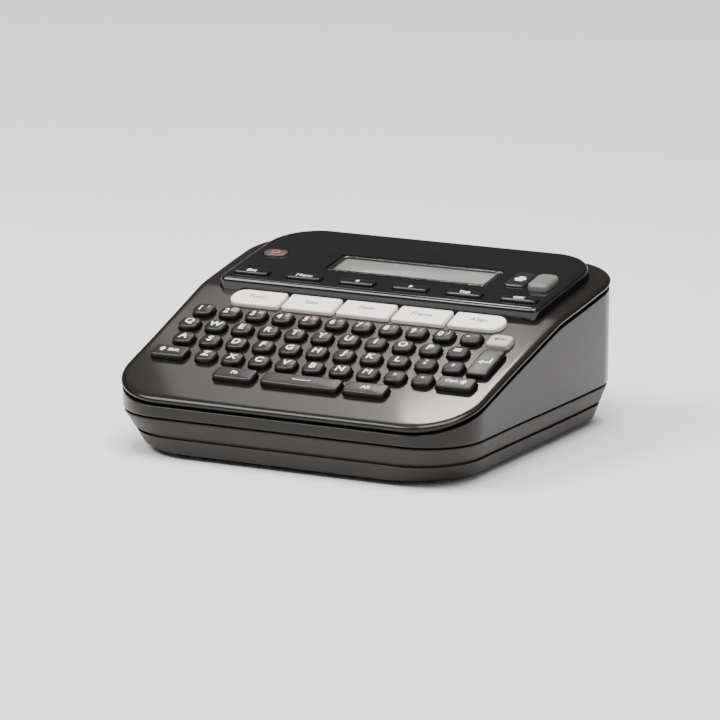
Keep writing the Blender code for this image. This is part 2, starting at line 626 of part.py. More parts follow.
# ------------------------------------------------------------------ electronics
def build_boards():
    poly = [(-64.0, 26.0), (-45.0, 26.0), (-45.0, 12.5), (45.0, 12.5), (45.0, 26.0), (66.5, 26.0), (66.5, 71.0),
            (62.5, 71.0), (62.5, 92.5), (-62.5, 92.5), (-62.5, 71.0), (-66.5, 71.0), (-66.5, 36.0), (-64.0, 36.0)]
    ob = make("key_board", *prism(poly, BOARD_LO, BOARD_HI, DECK))
    finish(ob, M_BOARD)

    ob = make("main_board", *box(-62.5, -30.0, -20.0, 66.0, 23.8, 25.4))
    bits = [
        box(-52.0, -40.0, -2.0, 10.0, 25.2, 27.0), box(-50.0, -42.0, 18.0, 26.0, 25.2, 26.8),
        box(-60.5, -57.0, -10.0, 12.0, 25.2, 30.0), cyl(-35.0, 0.0, 3.8, 25.2, 36.5, 16),
        cyl(-36.0, 12.0, 3.2, 25.2, 33.5, 16), box(-38.5, -32.0, 24.0, 36.0, 25.2, 31.0),
        box(-59.0, -52.0, 30.0, 38.0, 25.2, 28.4),
    ]
    add(ob, *bits)
    finish(ob, M_MAIN)

    ob = make("dc_jack", *box(-56.2, -46.8, 55.0, 69.3, 25.7, 36.7))
    cut(ob, slab_y(circle(-51.5, 31.2, 3.0, 20), 58.5, 80.0))
    add(ob, slab_y(circle(-51.5, 31.2, 1.0, 12), 57.0, 68.6))
    finish(ob, M_JACK)


def build_contacts():
    def plate(nm, x0, x1, ya, yb, bumps, sgn):
        ob = make(nm, *box(x0, x1, ya, yb, 6.0, 15.6))
        bl = []
        for y in bumps:
            xs = (x1 - 0.2, x1 + 1.3) if sgn > 0 else (x0 - 1.3, x0 + 0.2)
            pts = circle(y, 10.9, 2.6, 12)
            bl.append(slab_x(pts, xs[0], xs[1]))
        add(ob, *bl)
        finish(ob, M_NICKEL)
    cy = [CELL_Y0 + CELL_P * i for i in range(6)]
    for k in range(3):
        plate("battery_link_left_%d" % (k + 1), -61.7, -61.2, cy[2 * k] - 4.5, cy[2 * k + 1] + 4.5,
              (cy[2 * k], cy[2 * k + 1]), 1)
    plate("battery_terminal_1", -7.3, -6.8, cy[0] - 4.5, cy[0] + 4.5, (cy[0],), -1)
    plate("battery_link_right_1", -7.3, -6.8, cy[1] - 4.5, cy[2] + 4.5, (cy[1], cy[2]), -1)
    plate("battery_link_right_2", -7.3, -6.8, cy[3] - 4.5, cy[4] + 4.5, (cy[3], cy[4]), -1)
    plate("battery_terminal_2", -7.3, -6.8, cy[5] - 4.5, cy[5] + 4.5, (cy[5],), -1)


# ------------------------------------------------------------------ drive
def gear_outline(cx, cy, teeth, phase):
    """Straight-flanked teeth; one tooth centred on the angle phase."""
    rp = MODULE * teeth / 2.0
    ra, rd = rp + 0.75, rp - 1.1
    p = 2 * math.pi / teeth
    tp = 1.27 / rp / 2.0            # half tooth angle at the pitch circle
    pts = []
    for i in range(teeth):
        a = phase + p * i
        for da, r in ((-tp * 1.45, rd), (-tp * 0.55, ra), (tp * 0.55, ra), (tp * 1.45, rd)):
            pts.append((cx + r * math.cos(a + da), cy + r * math.sin(a + da)))
    return pts


def build_gear(name, spec, phase, bore, mat, z0=GEAR_Z0, z1=GEAR_Z1, hub=3.4):
    cx, cy, t = spec
    ob = make(name, *prism(gear_outline(cx, cy, t, phase), z0, z1), origin=(cx, cy, z0))
    if hub:
        add(ob, cyl(cx, cy, hub, z0 - 0.5, z1 + 0.5, 16))
    cut(ob, cyl(cx, cy, bore, z0 - 2.0, z1 + 2.0, 16))
    if t >= 24:
        rr = MODULE * t / 2.0
        cut(ob, *[cyl(cx + 0.6 * rr * math.cos(k * math.pi / 2 + 0.6), cy + 0.6 * rr * math.sin(k * math.pi / 2 + 0.6),
                      0.16 * rr, z0 - 2.0, z1 + 2.0, 8) for k in range(4)])
    return finish(ob, mat)


def mesh_phase(a_phase, a, b):
    """Phase of gear b so that it meshes with gear a, whose tooth sits at a_phase."""
    ang = math.atan2(b[1] - a[1], b[0] - a[0])
    pa, pb = 2 * math.pi / a[2], 2 * math.pi / b[2]
    off = ((ang - a_phase) / pa) % 1.0          # place along a's pitch where the centre line falls
    # b turns the other way; its gap must meet a's tooth
    return ang + math.pi + off * pb - pb / 2.0 * 1.0


def build_drive():
    ph = {}
    ph["platen"] = math.pi                        # a tooth of the platen gear points to the small idler
    ph["idler2"] = mesh_phase(ph["platen"], PLATEN, IDLER2)
    ph["idler1"] = mesh_phase(ph["idler2"], IDLER2, IDLER1)
    ph["pinion"] = mesh_phase(ph["idler1"], IDLER1, PINION)
    ph["ribbon"] = mesh_phase(ph["idler2"], IDLER2, RIBBON)
    build_gear("platen_gear", PLATEN, ph["platen"], 1.6, M_GEAR)
    build_gear("idler_gear_small", IDLER2, ph["idler2"], 1.5, M_GEAR)
    build_gear("idler_gear_large", IDLER1, ph["idler1"], 1.5, M_GEAR)
    build_gear("motor_pinion", PINION, ph["pinion"], 1.1, M_PIN, GEAR_Z0, GEAR_Z1, None)
    build_gear("ribbon_gear", RIBBON, ph["ribbon"], 1.6, M_GEAR)

    ob = make("gear_plate", *box(-27.0, 61.5, 9.0, 59.5, PLATE_Z0, PLATE_Z1))
    cut(ob, cyl(PLATEN[0], PLATEN[1], 1.6, 30.0, 36.0, 20), cyl(RIBBON[0], RIBBON[1], 1.6, 30.0, 36.0, 20),
        cyl(PINION[0], PINION[1], 2.4, 30.0, 36.0, 20), box(-30.0, -6.0, 5.0, 30.0, 30.0, 36.0),
        cyl(15.0, 22.0, 7.0, 30.0, 36.0, 20), cyl(50.0, 22.0, 6.0, 30.0, 36.0, 20))
    add(ob, cyl(IDLER2[0], IDLER2[1], 1.4, 33.0, 38.6, 20), cyl(IDLER1[0], IDLER1[1], 1.4, 33.0, 38.6, 20))
    finish(ob, M_PLATE)

    ob = make("drive_motor", *cyl(PINION[0], PINION[1], 8.4, 21.0, PLATE_Z0 - GAP, 28))
    add(ob, cyl(PINION[0], PINION[1], 1.0, 30.0, 38.2, 16))
    finish(ob, M_MOTOR)

    def turned(name, cx, cy, prof, mat, n=24):
        lp = [[(cx + r * math.cos(2 * math.pi * i / n), cy + r * math.sin(2 * math.pi * i / n), z)
               for i in range(n)] for r, z in prof]
        return finish(make(name, *stack(lp), origin=(cx, cy, prof[0][1])), mat)
    turned("platen_roller", PLATEN[0], PLATEN[1],
           ((1.5, 4.2), (1.5, 5.2), (3.8, 5.201), (4.0, 5.5), (4.0, 28.6), (3.8, 28.9), (1.5, 28.901), (1.5, 38.6)),
           M_ROLLER)
    # splined ribbon spindle
    cx, cy = RIBBON[0], RIBBON[1]
    ob = make("ribbon_spindle", *cyl(cx, cy, 1.5, 7.0, 38.6, 24), origin=(cx, cy, 7.0))
    star = []
    for i in range(12):
        a = math.pi * i / 6 
        star += [(cx + 2.5 * math.cos(a - 0.13), cy + 2.5 * math.sin(a - 0.13)),
                 (cx + 3.4 * math.cos(a - 0.06), cy + 3.4 * math.sin(a - 0.06)),
                 (cx + 3.4 * math.cos(a + 0.06), cy + 3.4 * math.sin(a + 0.06)),
                 (cx + 2.5 * math.cos(a + 0.13), cy + 2.5 * math.sin(a + 0.13))]
    add(ob, prism(star, 6.5, 28.5))
    finish(ob, M_SPIN)

    # print head on its heat sink
    ob = make("print_head", *box(47.4, 49.0, 37.0, 51.0, 4.5, 32.3))
    add(ob, box(48.8, 49.7, 42.0, 46.0, 5.5, 28.6))
    finish(ob, M_HEAD)


def build_cutter():
    px, pz = BLADE_PIVOT
    fixed = [(40.5, 4.0), (49.3, 4.0), (49.3, 30.0), (47.0, 43.0), (40.5, 43.0)]
    ob = make("cutter_fixed_blade", *slab_y(fixed, 61.0, 62.0))
    add(ob, slab_y(circle(px, pz, 1.2, 20), 61.5, 64.4))
    finish(ob, M_BLADE)
    mv = [(41.0, 36.5), (49.5, 36.5), (51.0, 30.5), (53.2, 5.0), (57.0, 6.0), (57.5, 38.2), (62.0, 38.5),
          (62.0, 42.0), (41.0, 42.0)]
    ob = make("cutter_blade", *slab_y(mv, 62.3, 63.3), origin=(px, 62.8, pz))
    cut(ob, slab_y(circle(px, pz, 1.3, 20), 60.0, 66.0))
    finish(ob, M_BLADE)

    # coil spring under the lever
    cx, cy, rc, wr = 59.0, 57.0, 2.2, 0.32
    z0, z1, turns, seg, ns = 34.3, 41.6, 5, 10, 5
    loops = []
    total = turns * seg
    for i in range(total + 1):
        a = 2 * math.pi * i / seg
        zc = z0 + (z1 - z0) * i / total
        t = Vector((-math.sin(a) * rc, math.cos(a) * rc, (z1 - z0) / (turns * 2 * math.pi))).normalized()
        nrm = Vector((math.cos(a), math.sin(a), 0.0))
        b = t.cross(nrm)
        c = Vector((cx + rc * math.cos(a), cy + rc * math.sin(a), zc))
        loops.append([tuple(c + nrm * (wr * math.cos(2 * math.pi * k / ns)) - b * (wr * math.sin(2 * math.pi * k / ns)))
                      for k in range(ns)])
    ob = make("cutter_spring", *stack(loops))
    bm = bmesh.new()
    bm.from_mesh(ob.data)
    bmesh.ops.recalc_face_normals(bm, faces=bm.faces)
    bm.to_mesh(ob.data)
    bm.free()
    finish(ob, M_SPRING)


def build_screws():
    for nm, x, y in (("case_screw_1", -FRONT_X, FRONT_Y), ("case_screw_2", FRONT_X, FRONT_Y),
                     ("case_screw_3", -67.3, SCREW_Y), ("case_screw_4", 67.3, SCREW_Y)):
        lp = [[(p[0], p[1], z) for p in circle(x, y, r, 12)]
              for r, z in ((2.2, 6.0), (2.4, 6.3), (2.4, 7.7), (1.25, 7.701), (1.25, 22.6), (0.5, 24.0))]
        ob = make(nm, *stack(lp))
        cut(ob, cyl(x, y, 1.1, 4.0, 6.9, 6))
        finish(ob, M_SCREW)


build_upper()
build_lower()
build_feet()
build_cover()
build_console()
build_keys()
build_lever()
build_boards()
build_contacts()
build_drive()
build_cutter()
build_screws()
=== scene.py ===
import bpy
import bmesh
import math
from mathutils import Vector, Matrix
from mathutils.bvhtree import BVHTree


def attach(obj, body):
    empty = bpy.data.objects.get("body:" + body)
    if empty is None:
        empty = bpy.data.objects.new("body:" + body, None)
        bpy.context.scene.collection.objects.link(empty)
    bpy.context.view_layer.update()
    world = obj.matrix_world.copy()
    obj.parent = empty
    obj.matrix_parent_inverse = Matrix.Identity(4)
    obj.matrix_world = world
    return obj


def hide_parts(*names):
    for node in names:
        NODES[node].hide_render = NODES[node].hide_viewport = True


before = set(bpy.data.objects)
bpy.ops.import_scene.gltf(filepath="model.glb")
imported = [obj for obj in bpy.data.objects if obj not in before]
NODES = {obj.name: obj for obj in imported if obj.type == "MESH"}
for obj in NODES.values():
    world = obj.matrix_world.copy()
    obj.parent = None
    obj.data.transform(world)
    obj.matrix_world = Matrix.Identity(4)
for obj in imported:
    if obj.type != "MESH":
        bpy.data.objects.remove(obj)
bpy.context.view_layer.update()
MM = 0.001
FINE = 2
BASE = "machine"

# ---------------------------------------------------------------- dimensions, mm
HALF_W, WIDEN = 75.3, 0.042
Y_FRONT, Y_BACK, CORNER_R = -74.5, 74.5, 24.0
FLOOR_Z0, FLOOR_Z1 = 1.6, 3.6
SPLIT_LO, SPLIT_HI, SCREW_Y = 16.1, 16.5, 22.0
FRONT_X, FRONT_Y = 56.0, -54.0
DECK_Y0, DECK_Z0, DECK_SLOPE = -73.0, 25.1, 0.298
FOLD_Y0, FOLD_Y1, LEDGE_SLOPE = 9.5, 14.5, 0.15
FOLD_Z0 = DECK_Z0 + DECK_SLOPE * (FOLD_Y0 - DECK_Y0)
FOLD_Z1 = FOLD_Z0 + 0.5 * (DECK_SLOPE + LEDGE_SLOPE) * (FOLD_Y1 - FOLD_Y0)
DECK_T = 2.4
CON_W, CON_YF, CON_YB, CON_RF, CON_RB = 67.6, 8.7, 70.2, 3.2, 19.0
CON_RISE, CON_PLATE, GAP = 4.0, 2.2, 0.3
PITCH, KEY_HU, KEY_HV, KEY_R, KEY_TOP = 11.47, 4.35, 4.0, 3.3, 2.2
ROW_V = (65.06, 53.7, 42.3, 30.9, 19.5)
ROW_U = (-64.0, -64.4, -61.0, -45.5)
WEB_LO, WEB_HI = -5.2, -4.3
FLANGE_LO, FLANGE_HI = -3.2, -2.6
TOUCH_U0, TOUCH_P, TOUCH_V0, TOUCH_V1, TOUCH_TOP = -59.25, 23.7, 72.9, 84.0, 1.6
FN_U0, FN_P, FN_V, FN_HU, FN_HV = -57.3, 23.0, 2.6, 7.4, 2.4
LCD_U, LCD_V, LCD_HU, LCD_HV = 3.5, 22.6, 33.5, 7.4
PRINT_U, PRINT_V = 49.0, 22.8
LEVER_X, LEVER_Y = 59.6, 34.0
BAT = (-62.0, -6.5, -33.0, 57.0, 18.6)
CAS = (-4.5, 62.0, -25.0, 57.5, 29.8)
ROOF_T, WALL_T = 1.5, 1.9
PLATEN, RIBBON = (54.0, 44.0), (33.0, 21.0)
PLATE_Z0 = 32.6
TAPE_X = 50.0
HINGE_Y, HINGE_Z, HINGE_R = -38.0, 3.7, 1.7


# ---------------------------------------------------------------- node materials
def new_mat(name):
    m = bpy.data.materials.new(name)
    m.use_nodes = True
    nt = m.node_tree
    nt.nodes.clear()
    out = nt.nodes.new("ShaderNodeOutputMaterial")
    b = nt.nodes.new("ShaderNodeBsdfPrincipled")
    nt.links.new(b.outputs["BSDF"], out.inputs["Surface"])
    return m, nt, b


def noise(nt, vec, scale, detail=3.0, rough=0.5):
    n = nt.nodes.new("ShaderNodeTexNoise")
    n.inputs["Scale"].default_value = scale
    n.inputs["Detail"].default_value = detail
    n.inputs["Roughness"].default_value = rough
    nt.links.new(vec, n.inputs["Vector"])
    return n.outputs["Fac"]


def maprange(nt, src, lo, hi, a=0.0, b=1.0):
    m = nt.nodes.new("ShaderNodeMapRange")
    m.inputs["From Min"].default_value = a
    m.inputs["From Max"].default_value = b
    m.inputs["To Min"].default_value = lo
    m.inputs["To Max"].default_value = hi
    nt.links.new(src, m.inputs["Value"])
    return m.outputs["Result"]


def mixcol(nt, fac, c0, c1, blend='MIX'):
    m = nt.nodes.new("ShaderNodeMix")
    m.data_type = 'RGBA'
    m.blend_type = blend
    if isinstance(fac, float):
        m.inputs[0].default_value = fac
    else:
        nt.links.new(fac, m.inputs[0])
    for k, c in ((6, c0), (7, c1)):
        if isinstance(c, tuple):
            m.inputs[k].default_value = (c[0], c[1], c[2], 1.0)
        else:
            nt.links.new(c, m.inputs[k])
    return m.outputs[2]


def surface(name, base, rough, spread=0.18, rvar=0.06, grain=2600.0, gdepth=0.00003, gstr=0.25, blotch=38.0,
            metallic=0.0, spec=0.5, coat=0.0, coat_rough=0.1, dust=0.0, streak=None):
    """A moulded, painted or metal surface: mottled colour, uneven gloss, fine grain and a trace of handling."""
    m, nt, b = new_mat(name)
    tc = nt.nodes.new("ShaderNodeTexCoord")
    vec = tc.outputs["Object"]
    if streak:
        mp = nt.nodes.new("ShaderNodeMapping")
        mp.inputs["Scale"].default_value = streak
        nt.links.new(vec, mp.inputs["Vector"])
        vec2 = mp.outputs["Vector"]
    else:
        vec2 = vec
    big = noise(nt, vec, blotch, 4.0, 0.55)
    mid = noise(nt, vec2, blotch * 9.0, 3.0, 0.6)
    fine = noise(nt, vec2, grain, 2.0, 0.5)
    lo = tuple(c * (1 - spread) for c in base)
    hi = tuple(min(1.0, c * (1 + spread)) for c in base)
    col = mixcol(nt, maprange(nt, big, 0.0, 1.0, 0.3, 0.7), lo, hi)
    speck = mixcol(nt, maprange(nt, fine, 0.0, 0.35, 0.52, 0.75), col, tuple(min(1.0, c * 1.5 + 0.004) for c in base))
    if dust > 0.0:
        geo = nt.nodes.new("ShaderNodeNewGeometry")
        sep = nt.nodes.new("ShaderNodeSeparateXYZ")
        nt.links.new(geo.outputs["Normal"], sep.inputs[0])
        up = maprange(nt, sep.outputs["Z"], 0.0, dust, 0.75, 1.0)
        mul = nt.nodes.new("ShaderNodeMath")
        mul.operation = 'MULTIPLY'
        nt.links.new(up, mul.inputs[0])
        nt.links.new(maprange(nt, mid, 0.0, 1.0, 0.45, 0.75), mul.inputs[1])
        speck = mixcol(nt, mul.outputs[0], speck, (0.30, 0.28, 0.26))
    nt.links.new(speck, b.inputs["Base Color"])
    nt.links.new(maprange(nt, mid, max(0.02, rough - rvar), min(1.0, rough + rvar), 0.3, 0.7), b.inputs["Roughness"])
    b.inputs["Metallic"].default_value = metallic
    b.inputs["Specular IOR Level"].default_value = spec
    b.inputs["Coat Weight"].default_value = coat
    b.inputs["Coat Roughness"].default_value = coat_rough
    if gstr > 0.0:
        bp = nt.nodes.new("ShaderNodeBump")
        bp.inputs["Strength"].default_value = gstr
        bp.inputs["Distance"].default_value = gdepth
        nt.links.new(fine, bp.inputs["Height"])
        nt.links.new(bp.outputs["Normal"], b.inputs["Normal"])
    return m


def board_mat(name, base):
    """Circuit board: solder mask with copper runs showing through and silk-screened dots."""
    m, nt, b = new_mat(name)
    tc = nt.nodes.new("ShaderNodeTexCoord")
    br = nt.nodes.new("ShaderNodeTexBrick")
    br.inputs["Scale"].default_value = 260.0
    br.inputs["Mortar Size"].default_value = 0.035
    br.inputs["Color1"].default_value = (base[0], base[1], base[2], 1)
    br.inputs["Color2"].default_value = (base[0] * 0.8, base[1] * 0.9, base[2] * 0.8, 1)
    br.inputs["Mortar"].default_value = (base[0] * 2.2, base[1] * 1.8, base[2] * 1.6, 1)
    nt.links.new(tc.outputs["Object"], br.inputs["Vector"])
    vo = nt.nodes.new("ShaderNodeTexVoronoi")
    vo.inputs["Scale"].default_value = 240.0
    nt.links.new(tc.outputs["Object"], vo.inputs["Vector"])
    dots = maprange(nt, vo.outputs["Distance"], 1.0, 0.0, 0.10, 0.13)
    nt.links.new(mixcol(nt, dots, br.outputs["Color"], (0.62, 0.55, 0.36)), b.inputs["Base Color"])
    nt.links.new(maprange(nt, noise(nt, tc.outputs["Object"], 300.0), 0.35, 0.5), b.inputs["Roughness"])
    bp = nt.nodes.new("ShaderNodeBump")
    bp.inputs["Strength"].default_value = 0.3
    bp.inputs["Distance"].default_value = 0.00005
    nt.links.new(br.outputs["Fac"], bp.inputs["Height"])
    nt.links.new(bp.outputs["Normal"], b.inputs["Normal"])
    return m


def lcd_mat(name):
    """Reflective display: grey-green glass over a fine dot grid."""
    m, nt, b = new_mat(name)
    tc = nt.nodes.new("ShaderNodeTexCoord")
    mp = nt.nodes.new("ShaderNodeMapping")
    mp.inputs["Scale"].default_value = (1.0, 1.0, 1.0)
    nt.links.new(tc.outputs["Object"], mp.inputs["Vector"])
    br = nt.nodes.new("ShaderNodeTexBrick")
    br.offset = 0.0
    br.inputs["Scale"].default_value = 1000.0
    br.inputs["Brick Width"].default_value = 0.5
    br.inputs["Row Height"].default_value = 0.5
    br.inputs["Mortar Size"].default_value = 0.05
    br.inputs["Color1"].default_value = (0.50, 0.525, 0.485, 1)
    br.inputs["Color2"].default_value = (0.51, 0.535, 0.495, 1)
    br.inputs["Mortar"].default_value = (0.54, 0.565, 0.52, 1)
    nt.links.new(mp.outputs["Vector"], br.inputs["Vector"])
    big = noise(nt, tc.outputs["Object"], 22.0, 2.0)
    col = mixcol(nt, maprange(nt, big, 0.0, 0.22, 0.3, 0.7), br.outputs["Color"], (0.44, 0.47, 0.43))
    nt.links.new(col, b.inputs["Base Color"])
    nt.links.new(maprange(nt, noise(nt, tc.outputs["Object"], 500.0), 0.22, 0.30), b.inputs["Roughness"])
    bp = nt.nodes.new("ShaderNodeBump")
    bp.inputs["Strength"].default_value = 0.15
    bp.inputs["Distance"].default_value = 0.00002
    nt.links.new(br.outputs["Fac"], bp.inputs["Height"])
    nt.links.new(bp.outputs["Normal"], b.inputs["Normal"])
    return m


def glass_mat(name):
    m, nt, b = new_mat(name)
    tc = nt.nodes.new("ShaderNodeTexCoord")
    n = noise(nt, tc.outputs["Object"], 120.0, 3.0)
    nt.links.new(mixcol(nt, maprange(nt, n, 0.0, 1.0, 0.3, 0.7), (0.93, 0.96, 0.94), (0.97, 0.99, 0.98)),
                 b.inputs["Base Color"])
    nt.links.new(maprange(nt, n, 0.015, 0.05, 0.35, 0.7), b.inputs["Roughness"])
    b.inputs["Transmission Weight"].default_value = 1.0
    b.inputs["IOR"].default_value = 1.45
    return m


CASE = surface("case_satin", (0.0074, 0.0057, 0.0049), 0.31, 0.12, 0.02, 1500.0, 0.000008, 0.10, 30.0, spec=0.14, coat=0.38,
               coat_rough=0.085)
SKIRT = surface("base_satin", (0.0185, 0.0148, 0.0128), 0.46, 0.10, 0.03, 1500.0, 0.00001, 0.15, 30.0, spec=0.34, dust=0.02)
COVER = surface("cover_matte", (0.022, 0.0185, 0.0168), 0.56, 0.12, 0.05, 2000.0, 0.00004, 0.4, 30.0)
GLOSS = surface("console_gloss_black", (0.0062, 0.0058, 0.0062), 0.085, 0.10, 0.010, 900.0, 0.000004, 0.05, 24.0,
                spec=0.42, coat=0.22, coat_rough=0.04, dust=0.008)
KEYS = surface("key_silicone_satin", (0.0056, 0.0048, 0.0044), 0.40, 0.12, 0.06, 3400.0, 0.000015, 0.3, 60.0, spec=0.42,
               dust=0.01)
CAPS = surface("cap_satin", (0.0056, 0.0048, 0.0044), 0.36, 0.12, 0.06, 3200.0, 0.000015, 0.3, 60.0, spec=0.48, dust=0.01)
BACK = surface("cap_light", (0.46, 0.44, 0.42), 0.40, 0.05, 0.05, 3000.0, 0.000012, 0.2, 50.0)
WHITE = surface("touch_white_satin", (0.95, 0.925, 0.905), 0.36, 0.03, 0.05, 3000.0, 0.00001, 0.2, 40.0, spec=0.5)
FNK = surface("function_black", (0.009, 0.0086, 0.0086), 0.12, 0.12, 0.03, 2600.0, 0.000006, 0.1, 50.0, spec=0.45)
POWER = surface("power_cap_grey", (0.06, 0.042, 0.042), 0.34, 0.08, 0.05, 2600.0, 0.00001, 0.2, 50.0)
PRINT = surface("print_cap_black", (0.018, 0.018, 0.022), 0.14, 0.10, 0.03, 2600.0, 0.000006, 0.1, 50.0, spec=0.45)
LEVER = surface("lever_satin", (0.12, 0.135, 0.12), 0.42, 0.06, 0.06, 2600.0, 0.00002, 0.25, 40.0)
RUBBER = surface("foot_rubber_matte", (0.022, 0.022, 0.022), 0.82, 0.2, 0.06, 1500.0, 0.00006, 0.6, 80.0, spec=0.3)
INK_WHITE = surface("ink_white", (0.90, 0.90, 0.88), 0.55, 0.04, 0.05, 4000.0, 0.000005, 0.1, 90.0)
INK_DARK = surface("ink_dark", (0.03, 0.03, 0.032), 0.5, 0.06, 0.05, 4000.0, 0.000005, 0.1, 90.0)
INK_GREY = surface("ink_grey", (0.20, 0.20, 0.21), 0.55, 0.06, 0.05, 4000.0, 0.000005, 0.1, 90.0)
INK_WARM = surface("ink_warm", (0.62, 0.30, 0.24), 0.55, 0.06, 0.05, 4000.0, 0.000005, 0.1, 90.0)
INK_RED = surface("ink_red", (0.70, 0.10, 0.09), 0.50, 0.06, 0.05, 4000.0, 0.000005, 0.1, 90.0)
SILVER = surface("ink_silver", (0.50, 0.50, 0.51), 0.35, 0.05, 0.05, 3000.0, 0.000005, 0.1, 60.0, metallic=0.6)
STEEL = surface("plate_steel_brushed", (0.62, 0.63, 0.64), 0.34, 0.08, 0.07, 900.0, 0.00001, 0.25, 40.0, metallic=1.0,
                streak=(1.0, 14.0, 1.0))
SCREW = surface("screw_zinc", (0.58, 0.57, 0.55), 0.32, 0.12, 0.08, 1400.0, 0.00002, 0.3, 120.0, metallic=1.0)
ALU = surface("head_alu", (0.72, 0.73, 0.74), 0.38, 0.06, 0.07, 1000.0, 0.00001, 0.3, 60.0, metallic=1.0,
              streak=(1.0, 1.0, 12.0))
ROLL = surface("platen_rubber", (0.028, 0.028, 0.029), 0.72, 0.15, 0.05, 2400.0, 0.00003, 0.4, 90.0, spec=0.35)
ACETAL = surface("gear_acetal", (0.80, 0.80, 0.75), 0.42, 0.04, 0.05, 1800.0, 0.00001, 0.2, 60.0)
BRASS = surface("pinion_brass_cut", (0.76, 0.56, 0.25), 0.28, 0.08, 0.08, 1600.0, 0.00001, 0.3, 90.0, metallic=1.0)
MOTOR = surface("motor_can", (0.60, 0.60, 0.61), 0.30, 0.08, 0.08, 900.0, 0.00001, 0.25, 40.0, metallic=1.0,
                streak=(1.0, 1.0, 10.0))
BLACKP = surface("black_acetal", (0.026, 0.026, 0.027), 0.48, 0.12, 0.06, 1800.0, 0.00002, 0.3, 60.0)
BLADE = surface("blade_ground", (0.72, 0.72, 0.74), 0.22, 0.06, 0.06, 1200.0, 0.00001, 0.3, 60.0, metallic=1.0,
                streak=(12.0, 1.0, 1.0))
WIRE = surface("spring_wire", (0.60, 0.60, 0.61), 0.28, 0.08, 0.06, 1600.0, 0.00001, 0.3, 90.0, metallic=1.0)
NICKEL = surface("contact_plate", (0.70, 0.67, 0.62), 0.30, 0.08, 0.08, 1200.0, 0.00001, 0.3, 60.0, metallic=1.0)
PCB = board_mat("board_green", (0.020, 0.150, 0.070))
PCB2 = board_mat("board_green_main", (0.022, 0.160, 0.075))
LCD = lcd_mat("lcd_reflective")
GLASS = glass_mat("window_glass")


# ---------------------------------------------------------------- mesh helpers
def make(name, vf, mat=None, smooth=True, angle=34.0):
    me = bpy.data.meshes.new(name)
    me.from_pydata([(x * MM, y * MM, z * MM) for x, y, z in vf[0]], [], vf[1])
    me.update()
    ob = bpy.data.objects.new(name, me)
    bpy.context.scene.collection.objects.link(ob)
    if mat is not None:
        me.materials.append(mat)
    if smooth:
        shade(ob, angle)
    return ob


def shade(ob, angle=34.0):
    me = ob.data
    for p in me.polygons:
        p.use_smooth = True
    me.set_sharp_from_angle(angle=math.radians(angle))


def weighted(ob):
    md = ob.modifiers.new("weighted", 'WEIGHTED_NORMAL')
    md.keep_sharp = True
    md.weight = 80
    return ob


def stack(loops, strips=False, cap=True):
    n = len(loops[0])
    verts = [tuple(p) for lp in loops for p in lp]
    faces = []
    for k in range(len(loops) - 1):
        a, b = k * n, (k + 1) * n
        for i in range(n):
            j = (i + 1) % n
            faces.append((a + i, a + j, b + j, b + i))
    top = (len(loops) - 1) * n
    if strips:
        m = n // 2
        for i in range(m - 1):
            r0, r1, l1, l0 = i, i + 1, n - 2 - i, n - 1 - i
            faces.append((top + r0, top + r1, top + l1, top + l0))
            faces.append((l0, l1, r1, r0))
    elif cap:
        faces.append(tuple(range(top, top + n)))
        faces.append(tuple(reversed(range(n))))
    return verts, faces


def merge(parts):
    verts, faces = [], []
    for v, f in parts:
        o = len(verts)
        verts += list(v)
        faces += [tuple(i + o for i in q) for q in f]
    return verts, faces


def rrect(cx, cy, hx, hy, r, n=6):
    r = max(0.05, min(r, hx - 0.001, hy - 0.001))
    pts = []
    for k, (sx, sy) in enumerate(((1, -1), (1, 1), (-1, 1), (-1, -1))):
        ox, oy = cx + sx * (hx - r), cy + sy * (hy - r)
        a0 = -math.pi / 2 + k * math.pi / 2
        for i in range(n + 1):
            a = a0 + math.pi / 2 * i / n
            pts.append((ox + r * math.cos(a), oy + r * math.sin(a)))
    return pts


def circle(cx, cy, r, n=48):
    return [(cx + r * math.cos(2 * math.pi * i / n), cy + r * math.sin(2 * math.pi * i / n)) for i in range(n)]


def flat(p):
    return p


def frame_on(y0, z0, slope):
    a = math.atan(slope)
    c, s = math.cos(a), math.sin(a)

    def f(p):
        return (p[0], y0 + p[1] * c - p[2] * s, z0 + p[1] * s + p[2] * c)
    f.normal = Vector((0.0, -s, c))
    return f


DECK = frame_on(DECK_Y0, DECK_Z0, DECK_SLOPE)
LEDGE = frame_on(FOLD_Y1, FOLD_Z1, LEDGE_SLOPE)
CON_TOP = CON_RISE * math.cos(math.atan(LEDGE_SLOPE))


def prism(poly, z0, z1, fr=flat):
    return stack([[fr((x, y, z0)) for x, y in poly], [fr((x, y, z1)) for x, y in poly]])


def box(x0, x1, y0, y1, z0, z1, fr=flat):
    return prism([(x0, y0), (x1, y0), (x1, y1), (x0, y1)], z0, z1, fr)


def cyl(cx, cy, r, z0, z1, n=40, fr=flat):
    return prism(circle(cx, cy, r, n), z0, z1, fr)


def slab_y(poly, y0, y1):
    return stack([[(x, y1, z) for x, z in poly], [(x, y0, z) for x, z in poly]])


def slab_x(poly, x0, x1):
    return stack([[(x0, y, z) for y, z in poly], [(x1, y, z) for y, z in poly]])


def ledge_z(y):
    return FOLD_Z1 + LEDGE_SLOPE * (y - FOLD_Y1)


def deck_z(y):
    if y <= FOLD_Y0:
        return DECK_Z0 + DECK_SLOPE * (y - DECK_Y0)
    if y >= FOLD_Y1:
        return ledge_z(y)
    t, w = y - FOLD_Y0, FOLD_Y1 - FOLD_Y0
    return FOLD_Z0 + DECK_SLOPE * t - 0.5 * (DECK_SLOPE - LEDGE_SLOPE) / w * t * t


